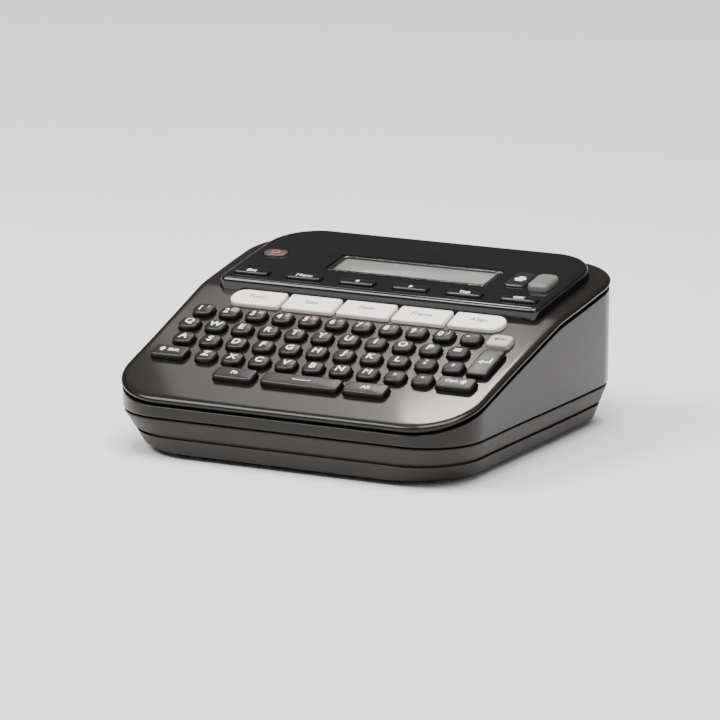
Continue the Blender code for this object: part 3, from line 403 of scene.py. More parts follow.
def ring(inset, zf, hw=HALF_W, yf=Y_FRONT, yb=Y_BACK, rf=CORNER_R, rb=CORNER_R,
         stations=(-30.0, -15.0, 0.0, 9.5, 10.75, 12.0, 13.25, 14.5, 24.0, 34.0, 42.0), n=None, widen=WIDEN):
    n = n or 14 * FINE
    ch = []
    for i in range(n + 1):
        a = -math.pi / 2 + math.pi / 2 * i / n
        ch.append((hw - rf + (rf - inset) * math.cos(a), yf + rf + (rf - inset) * math.sin(a)))
    for y in stations:
        ch.append((hw - inset, y))
    for i in range(n + 1):
        a = math.pi / 2 * i / n
        ch.append((hw - rb + (rb - inset) * math.cos(a), yb - rb + (rb - inset) * math.sin(a)))
    out = []
    for x, y in ch:
        t = min(1.0, max(0.0, (y + 60.0) / 110.0))
        out.append((x * (1.0 + widen * t * t * (3 - 2 * t)), y))
    full = out + [(-x, y) for x, y in reversed(out)]
    return [(x, y, zf(y)) for x, y in full]


def boolean(target, vf, op):
    tool = make("tool", vf, smooth=False)
    md = target.modifiers.new("b", 'BOOLEAN')
    md.operation = op
    md.solver = 'EXACT'
    md.object = tool
    bpy.context.view_layer.update()
    dg = bpy.context.evaluated_depsgraph_get()
    me = bpy.data.meshes.new_from_object(target.evaluated_get(dg))
    target.modifiers.clear()
    old = target.data
    target.data = me
    bpy.data.meshes.remove(old)
    td = tool.data
    bpy.data.objects.remove(tool, do_unlink=True)
    bpy.data.meshes.remove(td)
    return target


def cut(target, *v):
    return boolean(target, merge(v), 'DIFFERENCE')


def add(target, *v):
    return boolean(target, merge(v), 'UNION')


def close(ob, mat, angle=34.0):
    me = ob.data
    bm = bmesh.new()
    bm.from_mesh(me)
    bmesh.ops.remove_doubles(bm, verts=bm.verts, dist=2e-6)
    bmesh.ops.dissolve_degenerate(bm, dist=2e-6, edges=bm.edges)
    bm.to_mesh(me)
    bm.free()
    me.materials.clear()
    me.materials.append(mat)
    for p in me.polygons:
        p.material_index = 0
    shade(ob, angle)
    return ob


def piece(ob, body, slot=None, *nodes):
    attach(ob, body)
    if nodes:
        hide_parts(*nodes)
    return ob


def touch_outline(i, ins, gy=0.0, n=4):
    """Plan of one white key; the outer ends of the row are well rounded."""
    u = TOUCH_U0 + TOUCH_P * (i + 0.5)
    mid, hu, hv = 0.5 * (TOUCH_V0 + TOUCH_V1), 0.5 * TOUCH_P - 0.85, 0.5 * (TOUCH_V1 - TOUCH_V0)
    pts = []
    for k, (sx, sy) in enumerate(((1, -1), (1, 1), (-1, 1), (-1, -1))):
        big = (i == 4 and sx > 0) or (i == 0 and sx < 0)
        r = max((5.0 if big else 1.1) - ins, 0.25)
        hx, hy = hu - ins, hv - ins + gy
        ox, oy = u + sx * (hx - r), mid + sy * (hy - r)
        a0 = -math.pi / 2 + k * math.pi / 2
        for q in range(n + 1):
            a = a0 + math.pi / 2 * q / n
            pts.append((ox + r * math.cos(a), oy + r * math.sin(a)))
    return pts


# ---------------------------------------------------------------- case shells
def build_upper():
    def top(d):
        return lambda y: deck_z(y) + d
    loops = [ring(i, lambda y, d=d: SPLIT_HI + d) for i, d in ((1.3, 0.0), (1.05, 0.15), (0.75, 0.5), (0.58, 0.9))]
    for i, d in ((0.35, -3.95), (0.42, -3.8), (0.7, -3.66), (1.2, -3.6), (2.7, -3.58), (2.7, -2.5), (1.2, -2.44),
                 (0.7, -2.3), (0.3, -2.02), (0.07, -1.62), (0.0, -1.25), (0.06, -0.95), (0.25, -0.65), (0.6, -0.36),
                 (1.05, -0.16), (1.6, -0.05), (2.3, 0.0), (3.2, 0.0), (6.0, 0.0)):
        loops.append(ring(i, top(d)))
    ob = make("upper_case_shell", stack(loops, strips=True), smooth=False)
    cut(ob, stack([ring(4.4, lambda y: 12.0), ring(4.8, top(-6.0)), ring(5.2, top(-DECK_T - 0.5)),
                   ring(5.6, top(-DECK_T))], strips=True))
    bosses = []
    for sx in (-1, 1):
        bosses.append(cyl(FRONT_X * sx, FRONT_Y, 3.0, SPLIT_HI + 0.2, deck_z(FRONT_Y) - 1.2, 24))
        bosses.append(cyl(67.3 * sx, SCREW_Y, 3.0, SPLIT_HI + 0.2, deck_z(SCREW_Y) - 1.2, 24))
    add(ob, *bosses)
    holes = []
    for sx in (-1, 1):
        holes.append(cyl(FRONT_X * sx, FRONT_Y, 1.4, 10.0, 24.6, 16))
        holes.append(cyl(67.3 * sx, SCREW_Y, 1.4, 10.0, 30.0, 16))

    def pl(d):
        return lambda y: ledge_z(y) + d
    holes.append(stack([ring(-GAP, pl(-1.3), CON_W, CON_YF, CON_YB, CON_RF, CON_RB, (14.5, 34.0), 12 * FINE, 0.02),
                        ring(-GAP, pl(6.0), CON_W, CON_YF, CON_YB, CON_RF, CON_RB, (14.5, 34.0), 12 * FINE, 0.02)],
                       strips=True))
    holes.append(slab_y(circle(-51.5, 31.2, 4.6, 40), 66.0, 80.0))
    holes.append(box(TAPE_X - 1.2, TAPE_X + 1.2, 66.0, 80.0, 10.0, 30.0))
    cut(ob, *holes)
    # shallow dish round the adapter inlet
    cut(ob, slab_y(circle(-51.5, 31.2, 6.6, 40), 72.7, 80.0))
    more = []
    for r in range(4):
        for i in range((11, 11, 11, 9)[r]):
            more.append(prism(rrect(ROW_U[r] + PITCH * i, ROW_V[r], KEY_HU + 0.35, KEY_HV + 0.35, KEY_R + 0.3, 5),
                              -6.0, 4.0, DECK))
    for _, u, v, hu, hv in WIDE:
        more.append(prism(rrect(u, v, hu + 0.35, hv + 0.35, 2.6, 5), -6.0, 4.0, DECK))
    for i in range(5):
        more.append(prism(touch_outline(i, -0.3, 0.0, 6), -6.0, 4.0, DECK))
    more.append(box(LCD_U - 39.5, LCD_U + 39.5, LCD_V - 12.6, LCD_V + 12.6, -6.0, 2.0, LEDGE))
    for i in range(6):
        u = FN_U0 + FN_P * i
        more.append(box(u - 3.2, u + 3.2, FN_V - 1.7, FN_V + 1.7, -6.0, 2.0, LEDGE))
    more.append(prism(rrect(LEVER_X, LEVER_Y, 4.7, 6.9, 3.0, 8), 40.0, 70.0))
    cut(ob, *more)
    close(ob, CASE, 30.0)
    weighted(ob)
    return piece(ob, BASE, "case_dark", "upper_case")


WIDE = (
    ("backspace_key", ROW_U[0] + PITCH * 11 + 0.3, ROW_V[0], 4.7, 4.0),
    ("enter_key", 64.3, 48.0, 4.7, 9.7),
    ("shift_key_left", -61.0, ROW_V[3], 7.4, 4.0),
    ("shift_key_right", 59.9, ROW_V[3], 7.8, 4.0),
    ("low_key_left", -27.3, ROW_V[4], 8.6, 4.0),
    ("space_key", 1.0, ROW_V[4], 16.4, 4.0),
    ("low_key_right", 28.0, ROW_V[4], 8.9, 4.0),
)


def build_lower():
    def z(c):
        return lambda y: c
    def rn(i, h, r):
        return ring(i, z(h), rf=r + i)
    lv = ((7.6, 1.6, 27.0), (7.05, 1.66, 26.95), (6.55, 1.85, 26.85), (6.15, 2.15, 26.7), (5.8, 2.6, 26.55),
          (5.5, 3.2, 26.4), (5.2, 4.0, 26.15), (4.85, 5.0, 25.9), (4.3, 6.6, 25.6), (3.9, 7.7, 25.35), (3.82, 7.95, 25.3),
          (3.95, 8.12, 25.2), (4.3, 8.2, 24.9), (4.9, 8.22, 24.3), (4.9, 9.2, 24.2), (4.0, 9.24, 24.5), (3.5, 9.34, 24.7),
          (3.15, 9.6, 24.8), (3.0, 10.0, 24.75), (2.2, 12.4, 24.2), (1.05, 15.2, 23.4), (1.0, 15.6, 23.2),
          (1.1, 15.85, 23.1), (1.4, 16.05, 22.9), (1.9, 16.1, 22.5))
    ob = make("lower_case_shell", stack([rn(i, h, r) for i, h, r in lv], strips=True), smooth=False)
    cut(ob, stack([rn(9.2, FLOOR_Z1, 25.2), rn(7.6, 5.2, 24.4), rn(7.0, 9.4, 22.8), rn(4.9, 13.0, 21.0),
                   rn(4.9, 20.0, 20.6)], strips=True))
    w = WALL_T
    add(ob, box(BAT[0] - w, BAT[1] + 0.7, BAT[2] - w, BAT[3] + w, 2.6, BAT[4] + ROOF_T))
    add(ob, box(CAS[0] - 1.5, CAS[1] + w, CAS[2] - w, CAS[3] + w, 2.5, CAS[4] + ROOF_T))
    pegs = []
    top = CAS[4] + ROOF_T
    for x, y in ((-1.5, 12.0), (58.5, 12.0), (18.0, 22.0), (44.5, 55.5)):
        pegs.append(cyl(x, y, 1.9, top - 0.7, PLATE_Z0 - GAP, 20))
    for x, y in ((-58.0, -15.0), (-34.5, -15.0), (-58.0, 45.0), (-34.5, 45.0)):
        pegs.append(cyl(x, y, 1.9, BAT[4] + 0.5, 23.5, 20))
    for sx in (-1, 1):
        pegs.append(cyl(FRONT_X * sx, FRONT_Y, 3.5, 2.7, SPLIT_LO + 0.1, 24))
        pegs.append(cyl(67.3 * sx, SCREW_Y, 3.5, 2.7, SPLIT_LO + 0.1, 24))
        pegs.append(box(40.0 * sx - 10, 40.0 * sx + 10, -41.6, -35.2, 2.8, 7.4))
    add(ob, *pegs)
    cut(ob, box(BAT[0], BAT[1], BAT[2], BAT[3], 0.0, BAT[4]), box(CAS[0], CAS[1], CAS[2], CAS[3], 0.2, CAS[4]))
    cut(ob, box(-62.6, 62.6, -34.3, 58.1, -1.0, 3.5))
    # cradle ribs between the cells
    ribs = []
    for k in range(5):
        yy = -25.5 + 15.0 * (k + 0.5)
        ribs.append(box(BAT[0] + 3.0, BAT[0] + 16.0, yy - 0.5, yy + 0.5, 16.6, BAT[4] + 0.6))
        ribs.append(box(BAT[1] - 16.0, BAT[1] - 3.0, yy - 0.5, yy + 0.5, 16.6, BAT[4] + 0.6))
    add(ob, *ribs)
    holes = []
    for sx in (-1, 1):
        for x, y in ((FRONT_X * sx, FRONT_Y), (67.3 * sx, SCREW_Y)):
            holes.append(stack([[(p[0], p[1], zz) for p in circle(x, y, r, 28)]
                                for r, zz in ((2.75, 0.0), (2.75, 8.0), (1.55, 8.001), (1.55, 22.0))]))
        holes.append(slab_x(circle(HINGE_Y, HINGE_Z, HINGE_R + 0.4, 32), 40.0 * sx - 7.3, 40.0 * sx + 7.3))
    holes.append(box(TAPE_X - 1.2, TAPE_X + 1.2, CAS[3] - 1.0, CAS[3] + 4.0, 4.6, 28.6))
    holes.append(box(TAPE_X - 1.2, TAPE_X + 1.2, 66.0, 80.0, 5.2, 20.0))
    holes.append(cyl(PLATEN[0], PLATEN[1], 1.6, 25.0, 40.0, 32))
    holes.append(cyl(RIBBON[0], RIBBON[1], 1.6, 25.0, 40.0, 32))
    holes.append(box(47.0, 50.1, 36.6, 51.4, 25.0, 40.0))
    cut(ob, *holes)
    cut(ob, *[box(40.0 * sx - 7.31, 40.0 * sx + 7.31, -40.4, -34.0, -1.0, 3.55) for sx in (-1, 1)])
    feet = []
    for sx in (-1, 1):
        feet.append(prism(rrect(38.0 * sx, -60.5, 8.3, 2.8, 2.0, 6), 0.0, 2.2))
        feet.append(prism(rrect(48.0 * sx, 62.6, 8.3, 2.4, 2.0, 6), 0.0, 2.2))
    # blank recess for a rating plate, and a row of vents
    feet.append(prism(rrect(0.0, -52.0, 22.0, 6.0, 1.0, 4), 0.0, 1.95))
    for k in range(7):
        feet.append(prism(rrect(-26.0 + 8.66 * k, -65.0 + 0.0, 2.6, 0.45, 0.44, 4), 0.0, 2.4))
    cut(ob, *feet)
    close(ob, SKIRT, 30.0)
    weighted(ob)
    return piece(ob, BASE, "base_dark", "lower_case")


def build_cover():
    def plate(i, z):
        return [(x, y, z) for x, y in rrect(0.0, 12.05, 62.3 - i, 45.75 - i, 0.9, 5)]
    ob = make("bottom_cover_shell", stack([plate(0.35, FLOOR_Z0), plate(0.1, FLOOR_Z0 + 0.12), plate(0, FLOOR_Z0 + 0.35),
                                           plate(0, 3.2)]), smooth=False)
    add(ob, *[slab_x(circle(HINGE_Y, HINGE_Z, HINGE_R, 32), 40.0 * sx - 6.9, 40.0 * sx + 6.9) for sx in (-1, 1)])
    add(ob, *[box(40.0 * sx - 6.8, 40.0 * sx + 6.8, HINGE_Y + 0.2, -33.0, FLOOR_Z0 + 0.001, 3.19) for sx in (-1, 1)])
    cuts = [box(-14.0, 14.0, 51.0 + 1.5 * i, 51.7 + 1.5 * i, 0.0, 2.0) for i in range(4)]
    cuts.append(box(-10.7, -10.3, -30.0, 48.0, 0.0, 1.85))
    cut(ob, *cuts)
    # stiffening ribs on the inside
    ribs = [box(-58.0, 58.0, yy - 0.4, yy + 0.4, 3.0, 3.45) for yy in (-20.0, -2.0, 16.0, 34.0)]
    add(ob, *ribs)
    # arrow moulded by the latch
    cut(ob, prism([(0.0, 48.6), (-2.6, 45.2), (2.6, 45.2)], 0.0, 1.9))
    close(ob, COVER, 30.0)
    weighted(ob)
    return piece(ob, "cover", "cover_dark", "bottom_cover")


def build_feet():
    for nm, x, y, hy in (("foot_front_left", -38.0, -60.5, 2.5), ("foot_front_right", 38.0, -60.5, 2.5),
                         ("foot_rear_left", -48.0, 62.6, 2.1), ("foot_rear_right", 48.0, 62.6, 2.1)):
        lp = [[(p[0], p[1], z) for p in rrect(x, y, 8.0 - i, hy - i, 1.8, 8)]
              for i, z in ((0.9, 0.0), (0.5, 0.04), (0.25, 0.14), (0.08, 0.32), (0.0, 0.6), (0.0, 1.9))]
        ob = make(nm + "_pad", stack(lp), RUBBER)
        cut(ob, *[box(x - 6.0 + 1.7 * k, x - 5.6 + 1.7 * k, y - hy + 0.7, y + hy - 0.7, -0.2, 0.12) for k in range(8)])
        close(ob, RUBBER)
        piece(ob, BASE, "foot_rubber", nm)


# ---------------------------------------------------------------- console
def build_console():
    def pl(d):
        return lambda y: ledge_z(y) + d

    def rg(i, d):
        return ring(i, pl(d), CON_W, CON_YF, CON_YB, CON_RF, CON_RB, (14.5, 24.0, 34.0, 44.0), 12 * FINE, 0.02)
    lv = [(0.25, -1.0), (0.0, -0.7), (0.0, 2.3)]
    for k in range(1, 9):
        a = math.pi / 2 * k / 8
        lv.append((1.7 * (1 - math.cos(a)), 2.3 + 1.7 * math.sin(a)))
    lv += [(2.6, 4.0), (5.0, 4.0)]
    ob = make("console_shell", stack([rg(i, d) for i, d in lv if i < 3.0], strips=True), smooth=False)
    cut(ob, stack([rg(1.9, -2.0), rg(1.9, 1.0), rg(2.4, CON_RISE - CON_PLATE)], strips=True))
    cuts = [prism(rrect(LCD_U, LCD_V, LCD_HU + 1.8, LCD_HV + 1.8, 2.4, 8), 2.75, 8.0, LEDGE)]
    for i in range(6):
        cuts.append(prism(rrect(FN_U0 + FN_P * i, FN_V, FN_HU + 0.3, FN_HV + 0.3, 1.6, 6), -1.0, 8.0, LEDGE))
    cuts.append(prism(rrect(-58.5, 24.9, 5.3, 3.7, 3.6, 12), -1.0, 8.0, LEDGE))
    cuts.append(prism(rrect(PRINT_U, PRINT_V, 4.5, 7.7, 2.0, 8), -1.0, 8.0, LEDGE))
    cuts.append(prism(rrect(LEVER_X, LEVER_Y, 4.7, 6.9, 3.0, 8), 40.0, 75.0))
    cut(ob, *cuts)
    cut(ob, prism(rrect(LCD_U, LCD_V, LCD_HU, LCD_HV, 1.2, 6), -1.0, 5.0, LEDGE))
    close(ob, GLOSS, 30.0)
    weighted(ob)
    piece(ob, BASE, "console_gloss", "console_panel")

    # display glass with its own bright edge, over the CAD module
    lp = [[LEDGE((p[0], p[1], w)) for p in rrect(LCD_U, LCD_V, LCD_HU - 0.7 - i, LCD_HV - 0.7 - i, 0.5, 4)]
          for i, w in ((0.0, 2.33), (0.0, 2.55), (0.12, 2.62))]
    scr = make("lcd_screen", stack(lp), LCD)
    piece(scr, BASE, "lcd_glass")
    # printed black border under the window
    outer = rrect(LCD_U, LCD_V, LCD_HU + 1.3, LCD_HV + 1.3, 2.0, 8)
    inner = rrect(LCD_U, LCD_V, LCD_HU - 0.9, LCD_HV - 0.9, 0.6, 8)
    n = len(outer)
    vs, fs = [], []
    for lpz in ((outer, 2.84), (inner, 2.84), (inner, 2.90), (outer, 2.90)):
        vs += [LEDGE((p[0], p[1], lpz[1])) for p in lpz[0]]
    for i in range(n):
        j = (i + 1) % n
        for a in range(4):
            b = (a + 1) % 4
            fs.append((a * n + i, b * n + i, b * n + j, a * n + j))
    br = make("lcd_border", (vs, fs), FNK, smooth=False)
    bm = bmesh.new()
    bm.from_mesh(br.data)
    bmesh.ops.recalc_face_normals(bm, faces=bm.faces)
    bm.to_mesh(br.data)
    bm.free()
    piece(br, BASE, "console_gloss")
    # window with a softened rim
    lp = []
    for i, w in ((0.0, 2.96), (0.0, 3.55), (0.08, 3.70), (0.25, 3.79), (0.5, 3.81)):
        lp.append([LEDGE((p[0], p[1], w)) for p in rrect(LCD_U, LCD_V, LCD_HU + 1.5 - i, LCD_HV + 1.5 - i, 2.1, 10)])
    win = make("lcd_window_lens", stack(lp), GLASS)
    weighted(win)
    piece(win, BASE, "window_clear", "lcd_window")
    return ob


# ---------------------------------------------------------------- keys
TARGETS = {}


def cap_shape(fr, outline, low, top, edge, crown, seg=5, flange=None, inner=4):
    """outline(inset) gives the plan loop; the top edge is a quarter round and the top is crowned."""
    lp = []
    if flange:
        for w, g in ((flange[0], 1), (flange[1], 1)):
            lp.append([fr((p[0], p[1], w)) for p in flange[2](0.0)])
        lp.append([fr((p[0], p[1], flange[1] + 0.001)) for p in outline(0.0)])
    else:
        lp.append([fr((p[0], p[1], low)) for p in outline(0.0)])
    for k in range(seg + 1):
        a = math.pi / 2 * k / seg
        lp.append([fr((p[0], p[1], top - edge + edge * math.sin(a))) for p in outline(edge * (1 - math.cos(a)))])
    last = outline(edge)
    cx = sum(p[0] for p in last) / len(last)
    cy = sum(p[1] for p in last) / len(last)
    for k in range(1, inner):
        s = 1.0 - k / inner
        h = top + crown * (1 - s * s)
        lp.append([fr((cx + (p[0] - cx) * s, cy + (p[1] - cy) * s, h)) for p in last])
    verts, faces = stack(lp, cap=False)
    n = len(lp[0])
    topi = (len(lp) - 1) * n
    faces.append(tuple(reversed(range(n))))
    verts.append(fr((cx, cy, top + crown)))
    c = len(verts) - 1
    for i in range(n):
        faces.append((topi + i, topi + (i + 1) % n, c))
    return verts, faces


def rr_outline(u, v, hu, hv, r, n):
    return lambda i: rrect(u, v, hu - i, hv - i, max(r - i, 0.35), n)


def small_centres():
    out = []
    for r in range(4):
        for i in range((11, 11, 11, 9)[r]):
            out.append((ROW_U[r] + PITCH * i, ROW_V[r], r, i))
    return out


def build_keys():
    n = 5 * FINE
    web = [(-64.5, 25.0), (-46.0, 25.0), (-46.0, 13.0), (46.0, 13.0), (46.0, 25.0), (68.6, 25.0),
           (69.6, 38.0), (69.8, 71.5), (63.5, 71.5), (63.5, 92.0), (-63.5, 92.0), (-63.5, 71.5), (-69.6, 71.5),
           (-69.6, 36.0), (-64.5, 36.0)]
    parts = [prism(web, WEB_LO, WEB_HI, DECK)]
    for u, v, r, i in small_centres():
        parts.append(cap_shape(DECK, rr_outline(u, v, KEY_HU, KEY_HV, KEY_R, n), WEB_HI - 0.2, KEY_TOP - 0.05, 1.15, 0.30,
                               6, None, 5))
    ob = make("key_mat_moulding", merge(parts), KEYS, angle=40.0)
    piece(ob, BASE, "key_silicone", "key_mat")
    TARGETS["mat"] = ob

    for nm, u, v, hu, hv in WIDE:
        ob = make(nm + "_cap", cap_shape(DECK, rr_outline(u, v, hu, hv, 2.3, n), 0.0, KEY_TOP, 0.9, 0.18, 6,
                                         (FLANGE_LO, FLANGE_HI, rr_outline(u, v, hu + 0.45, hv + 0.6, 2.3, n)), 4),
                  BACK if nm == "backspace_key" else CAPS, angle=40.0)
        piece(ob, nm + "_body", "cap_dark", nm)
        TARGETS[nm] = ob

    for i in range(5):
        nm = "touch_key_%d" % (i + 1)
        ob = make(nm + "_cap", cap_shape(DECK, lambda ins, i=i: touch_outline(i, ins, 0.0, 2 * n), 0.0, TOUCH_TOP, 0.7, 0.14,
                                         6, (FLANGE_LO, FLANGE_HI, lambda t, i=i: touch_outline(i, 0.0, 0.55, 2 * n)), 4),
                  WHITE, angle=40.0)
        piece(ob, nm + "_body", "touch_white", nm)
        TARGETS[nm] = ob

    for i in range(6):
        u = FN_U0 + FN_P * i
        nm = "function_key_%d" % (i + 1)
        vf = cap_shape(LEDGE, rr_outline(u, FN_V, FN_HU, FN_HV, 1.4, n), 0.0, CON_TOP + 1.0, 0.6, 0.1, 5,
                       (1.0, 1.6, rr_outline(u, FN_V, FN_HU + 0.5, FN_HV - 0.1, 1.4, n)), 4)
        ob = make(nm + "_cap", merge([vf, box(u - 2.8, u + 2.8, FN_V - 1.3, FN_V + 1.3, -2.9, 1.1, LEDGE)]),
                  FNK, angle=40.0)
        piece(ob, nm + "_body", "function_gloss", nm)
        TARGETS[nm] = ob
    for nm, u, v, hu, hv, r, h, mt, sl in (("power_button", -58.5, 24.9, 5.0, 3.4, 3.35, 0.8, POWER, "power_cap"),
                                           ("print_button", PRINT_U, PRINT_V, 4.2, 7.4, 1.7, 0.7, PRINT, "print_cap")):
        ob = make(nm + "_cap", cap_shape(LEDGE, rr_outline(u, v, hu, hv, r, 2 * n), 0.0, CON_TOP + h, 0.6, 0.12, 5,
                                         (1.0, 1.6, rr_outline(u, v, hu + 0.5, hv + 0.7, r, 2 * n)), 4), mt, angle=40.0)
        piece(ob, nm + "_body", sl, nm)
        TARGETS[nm] = ob


def build_lever():
    def lp(e, d):
        return [(p[0], p[1], ledge_z(p[1]) + d) for p in rrect(LEVER_X, LEVER_Y, 4.4 + e, 6.6 + e, max(2.7 + e, 0.4), 5 * FINE)]
    t = CON_RISE + 2.4
    loops = [lp(0.8, -4.4), lp(0.8, -2.8), lp(0.0, -2.799)]
    for k in range(7):
        a = math.pi / 2 * k / 6
        loops.append(lp(-1.3 * (1 - math.cos(a)), t - 1.3 + 1.3 * math.sin(a)))
    ob = make("cutter_lever_cap", stack(loops), smooth=False)
    add(ob, box(57.5, 60.5, 30.5, 36.0, 42.31, 52.0))
    add(ob, box(57.4, 60.6, 30.4, 64.0, 42.3, 46.0))
    # thumb grooves across the top
    cuts = []
    for k in range(3):
        y = 36.0 + 1.5 * k
        z = ledge_z(y) + t
        cuts.append(slab_x(circle(y, z + 0.22, 0.5, 20), 50.0, 70.0))
    cut(ob, *cuts)
    close(ob, LEVER, 35.0)
    weighted(ob)
    piece(ob, "cutter_lever_body", "lever_grey", "cutter_lever")
    TARGETS["lever"] = ob


# ---------------------------------------------------------------- legends and symbols
TREES = {}


def tree(key):
    if key not in TREES:
        ob = TARGETS[key]
        me = ob.data
        vs = [v.co.copy() for v in me.vertices]
        TREES[key] = BVHTree.FromPolygons(vs, [tuple(p.vertices) for p in me.polygons])
    return TREES[key]


GLYPHS = {}


def glyph(text):
    """Text outline as a thin solid at unit size: list of vertices and faces."""
    if text not in GLYPHS:
        cu = bpy.data.curves.new("glyph", 'FONT')
        cu.body = text
        cu.size = 1.0
        cu.extrude = 0.01
        cu.offset = 0.0 if "M" in text else 0.022
        cu.resolution_u = 3
        cu.align_x = 'CENTER'
        ob = bpy.data.objects.new("glyph", cu)
        bpy.context.scene.collection.objects.link(ob)
        bpy.context.view_layer.update()
        dg = bpy.context.evaluated_depsgraph_get()
        me = bpy.data.meshes.new_from_object(ob.evaluated_get(dg))
        bm = bmesh.new()
        bm.from_mesh(me)
        bmesh.ops.remove_doubles(bm, verts=bm.verts, dist=1e-5)
        bmesh.ops.triangulate(bm, faces=bm.faces)
        long = [e for e in bm.edges if e.calc_length() > 0.30]
        bmesh.ops.subdivide_edges(bm, edges=long, cuts=2)
        bmesh.ops.triangulate(bm, faces=bm.faces)
        vs = [v.co.copy() for v in bm.verts]
        fs = [tuple(v.index for v in f.verts) for f in bm.faces]
        bm.free()
        bpy.data.objects.remove(ob, do_unlink=True)
        bpy.data.meshes.remove(me)
        if vs:
            x0, x1 = min(v.x for v in vs), max(v.x for v in vs)
            y0, y1 = min(v.y for v in vs), max(v.y for v in vs)
            c = Vector((0.5 * (x0 + x1), 0.5 * (y0 + y1), 0.0))
            vs = [v - c for v in vs]
        GLYPHS[text] = (vs, fs)
    return GLYPHS[text]


def poly_solid(polys):
    """Flat outlines to thin solids."""
    bm = bmesh.new()
    for poly in polys:
        lo = [bm.verts.new((x, y, -0.01)) for x, y in poly]
        hi = [bm.verts.new((x, y, 0.01)) for x, y in poly]
        bm.faces.new(list(reversed(lo)))
        bm.faces.new(hi)
        m = len(poly)
        for i in range(m):
            j = (i + 1) % m
            bm.faces.new((lo[i], lo[j], hi[j], hi[i]))
    bmesh.ops.recalc_face_normals(bm, faces=bm.faces)
    bmesh.ops.triangulate(bm, faces=bm.faces)
    vs = [v.co.copy() for v in bm.verts]
    bm.verts.index_update()
    fs = [tuple(v.index for v in f.verts) for f in bm.faces]
    bm.free()
    return vs, fs


def arc_strip(r, w, a0, a1, n=24, cx=0.0, cy=0.0):
    out = [(cx + (r + w / 2) * math.cos(a), cy + (r + w / 2) * math.sin(a))
           for a in [a0 + (a1 - a0) * i / n for i in range(n + 1)]]
    inn = [(cx + (r - w / 2) * math.cos(a), cy + (r - w / 2) * math.sin(a))
           for a in [a1 - (a1 - a0) * i / n for i in range(n + 1)]]
    return out + inn


def bar(x0, y0, x1, y1, w):
    d = Vector((x1 - x0, y1 - y0)).normalized() * (w / 2)
    return [(x0 + d.y, y0 - d.x), (x1 + d.y, y1 - d.x), (x1 - d.y, y1 + d.x), (x0 - d.y, y0 + d.x)]


ICONS = {
    "power": [arc_strip(0.9, 0.24, math.radians(125), math.radians(415), 28), bar(0.0, 0.25, 0.0, 1.15, 0.24)],
    "back": [[(-1.4, 0.0), (-0.5, -0.8), (-0.5, -0.22), (1.4, -0.22), (1.4, 0.22), (-0.5, 0.22), (-0.5, 0.8)]],
    "enter": [[(-1.3, -0.5), (-0.4, -1.2), (-0.4, -0.72), (1.3, -0.72), (1.3, 1.1), (0.9, 1.1), (0.9, -0.3),
               (-0.4, -0.3), (-0.4, 0.2)]],
    "shift": [[(0.0, 1.2), (-1.1, 0.05), (-0.45, 0.05), (-0.45, -1.0), (0.45, -1.0), (0.45, 0.05), (1.1, 0.05)]],
    "print": [[(-1.2, -0.5), (1.2, -0.5), (1.2, 0.35), (-1.2, 0.35)], [(-0.7, 0.5), (0.7, 0.5), (0.7, 1.2), (-0.7, 1.2)],
              [(-0.8, -1.2), (0.8, -1.2), (0.8, -0.65), (-0.8, -0.65)]],
    "cut": [arc_strip(0.42, 0.18, 0.0, 2 * math.pi * 0.999, 20, -0.55, -0.85),
            arc_strip(0.42, 0.18, 0.0, 2 * math.pi * 0.999, 20, 0.55, -0.85),
            bar(-0.38, -0.45, 0.55, 1.25, 0.2), bar(0.38, -0.45, -0.55, 1.25, 0.2)],
    "left": [[(-0.8, 0.0), (0.5, -0.9), (0.5, 0.9)]],
    "right": [[(0.8, 0.0), (-0.5, 0.9), (-0.5, -0.9)]],
    "space": [[(-3.0, 0.35), (-3.0, -0.35), (3.0, -0.35), (3.0, 0.35), (2.75, 0.35), (2.75, -0.1), (-2.75, -0.1),
               (-2.75, 0.35)]],
}


def stamp(what, size, fr, u, v, target, sx=1.0, icon=False, lift=0.055):
    """Places a legend on a key top, following its crown."""
    vs, fs = poly_solid(ICONS[what]) if icon else glyph(what)
    nrm = fr.normal
    t = tree(target)
    out = []
    for p in vs:
        q = fr((u + p.x * size * sx, v + p.y * size, 0.0))
        o = Vector(q) * MM + nrm * 0.02
        hit = t.ray_cast(o, -nrm, 0.04)
        base = hit[0] if hit[0] is not None else Vector(q) * MM
        h = (lift if p.z > 0 else -0.06) * MM
        out.append(tuple((base + nrm * h) / MM))
    return out, fs


def legends(name, body, slot, mat, parts):
    ob = make(name, merge(parts), mat, smooth=False)
    return piece(ob, body, slot)


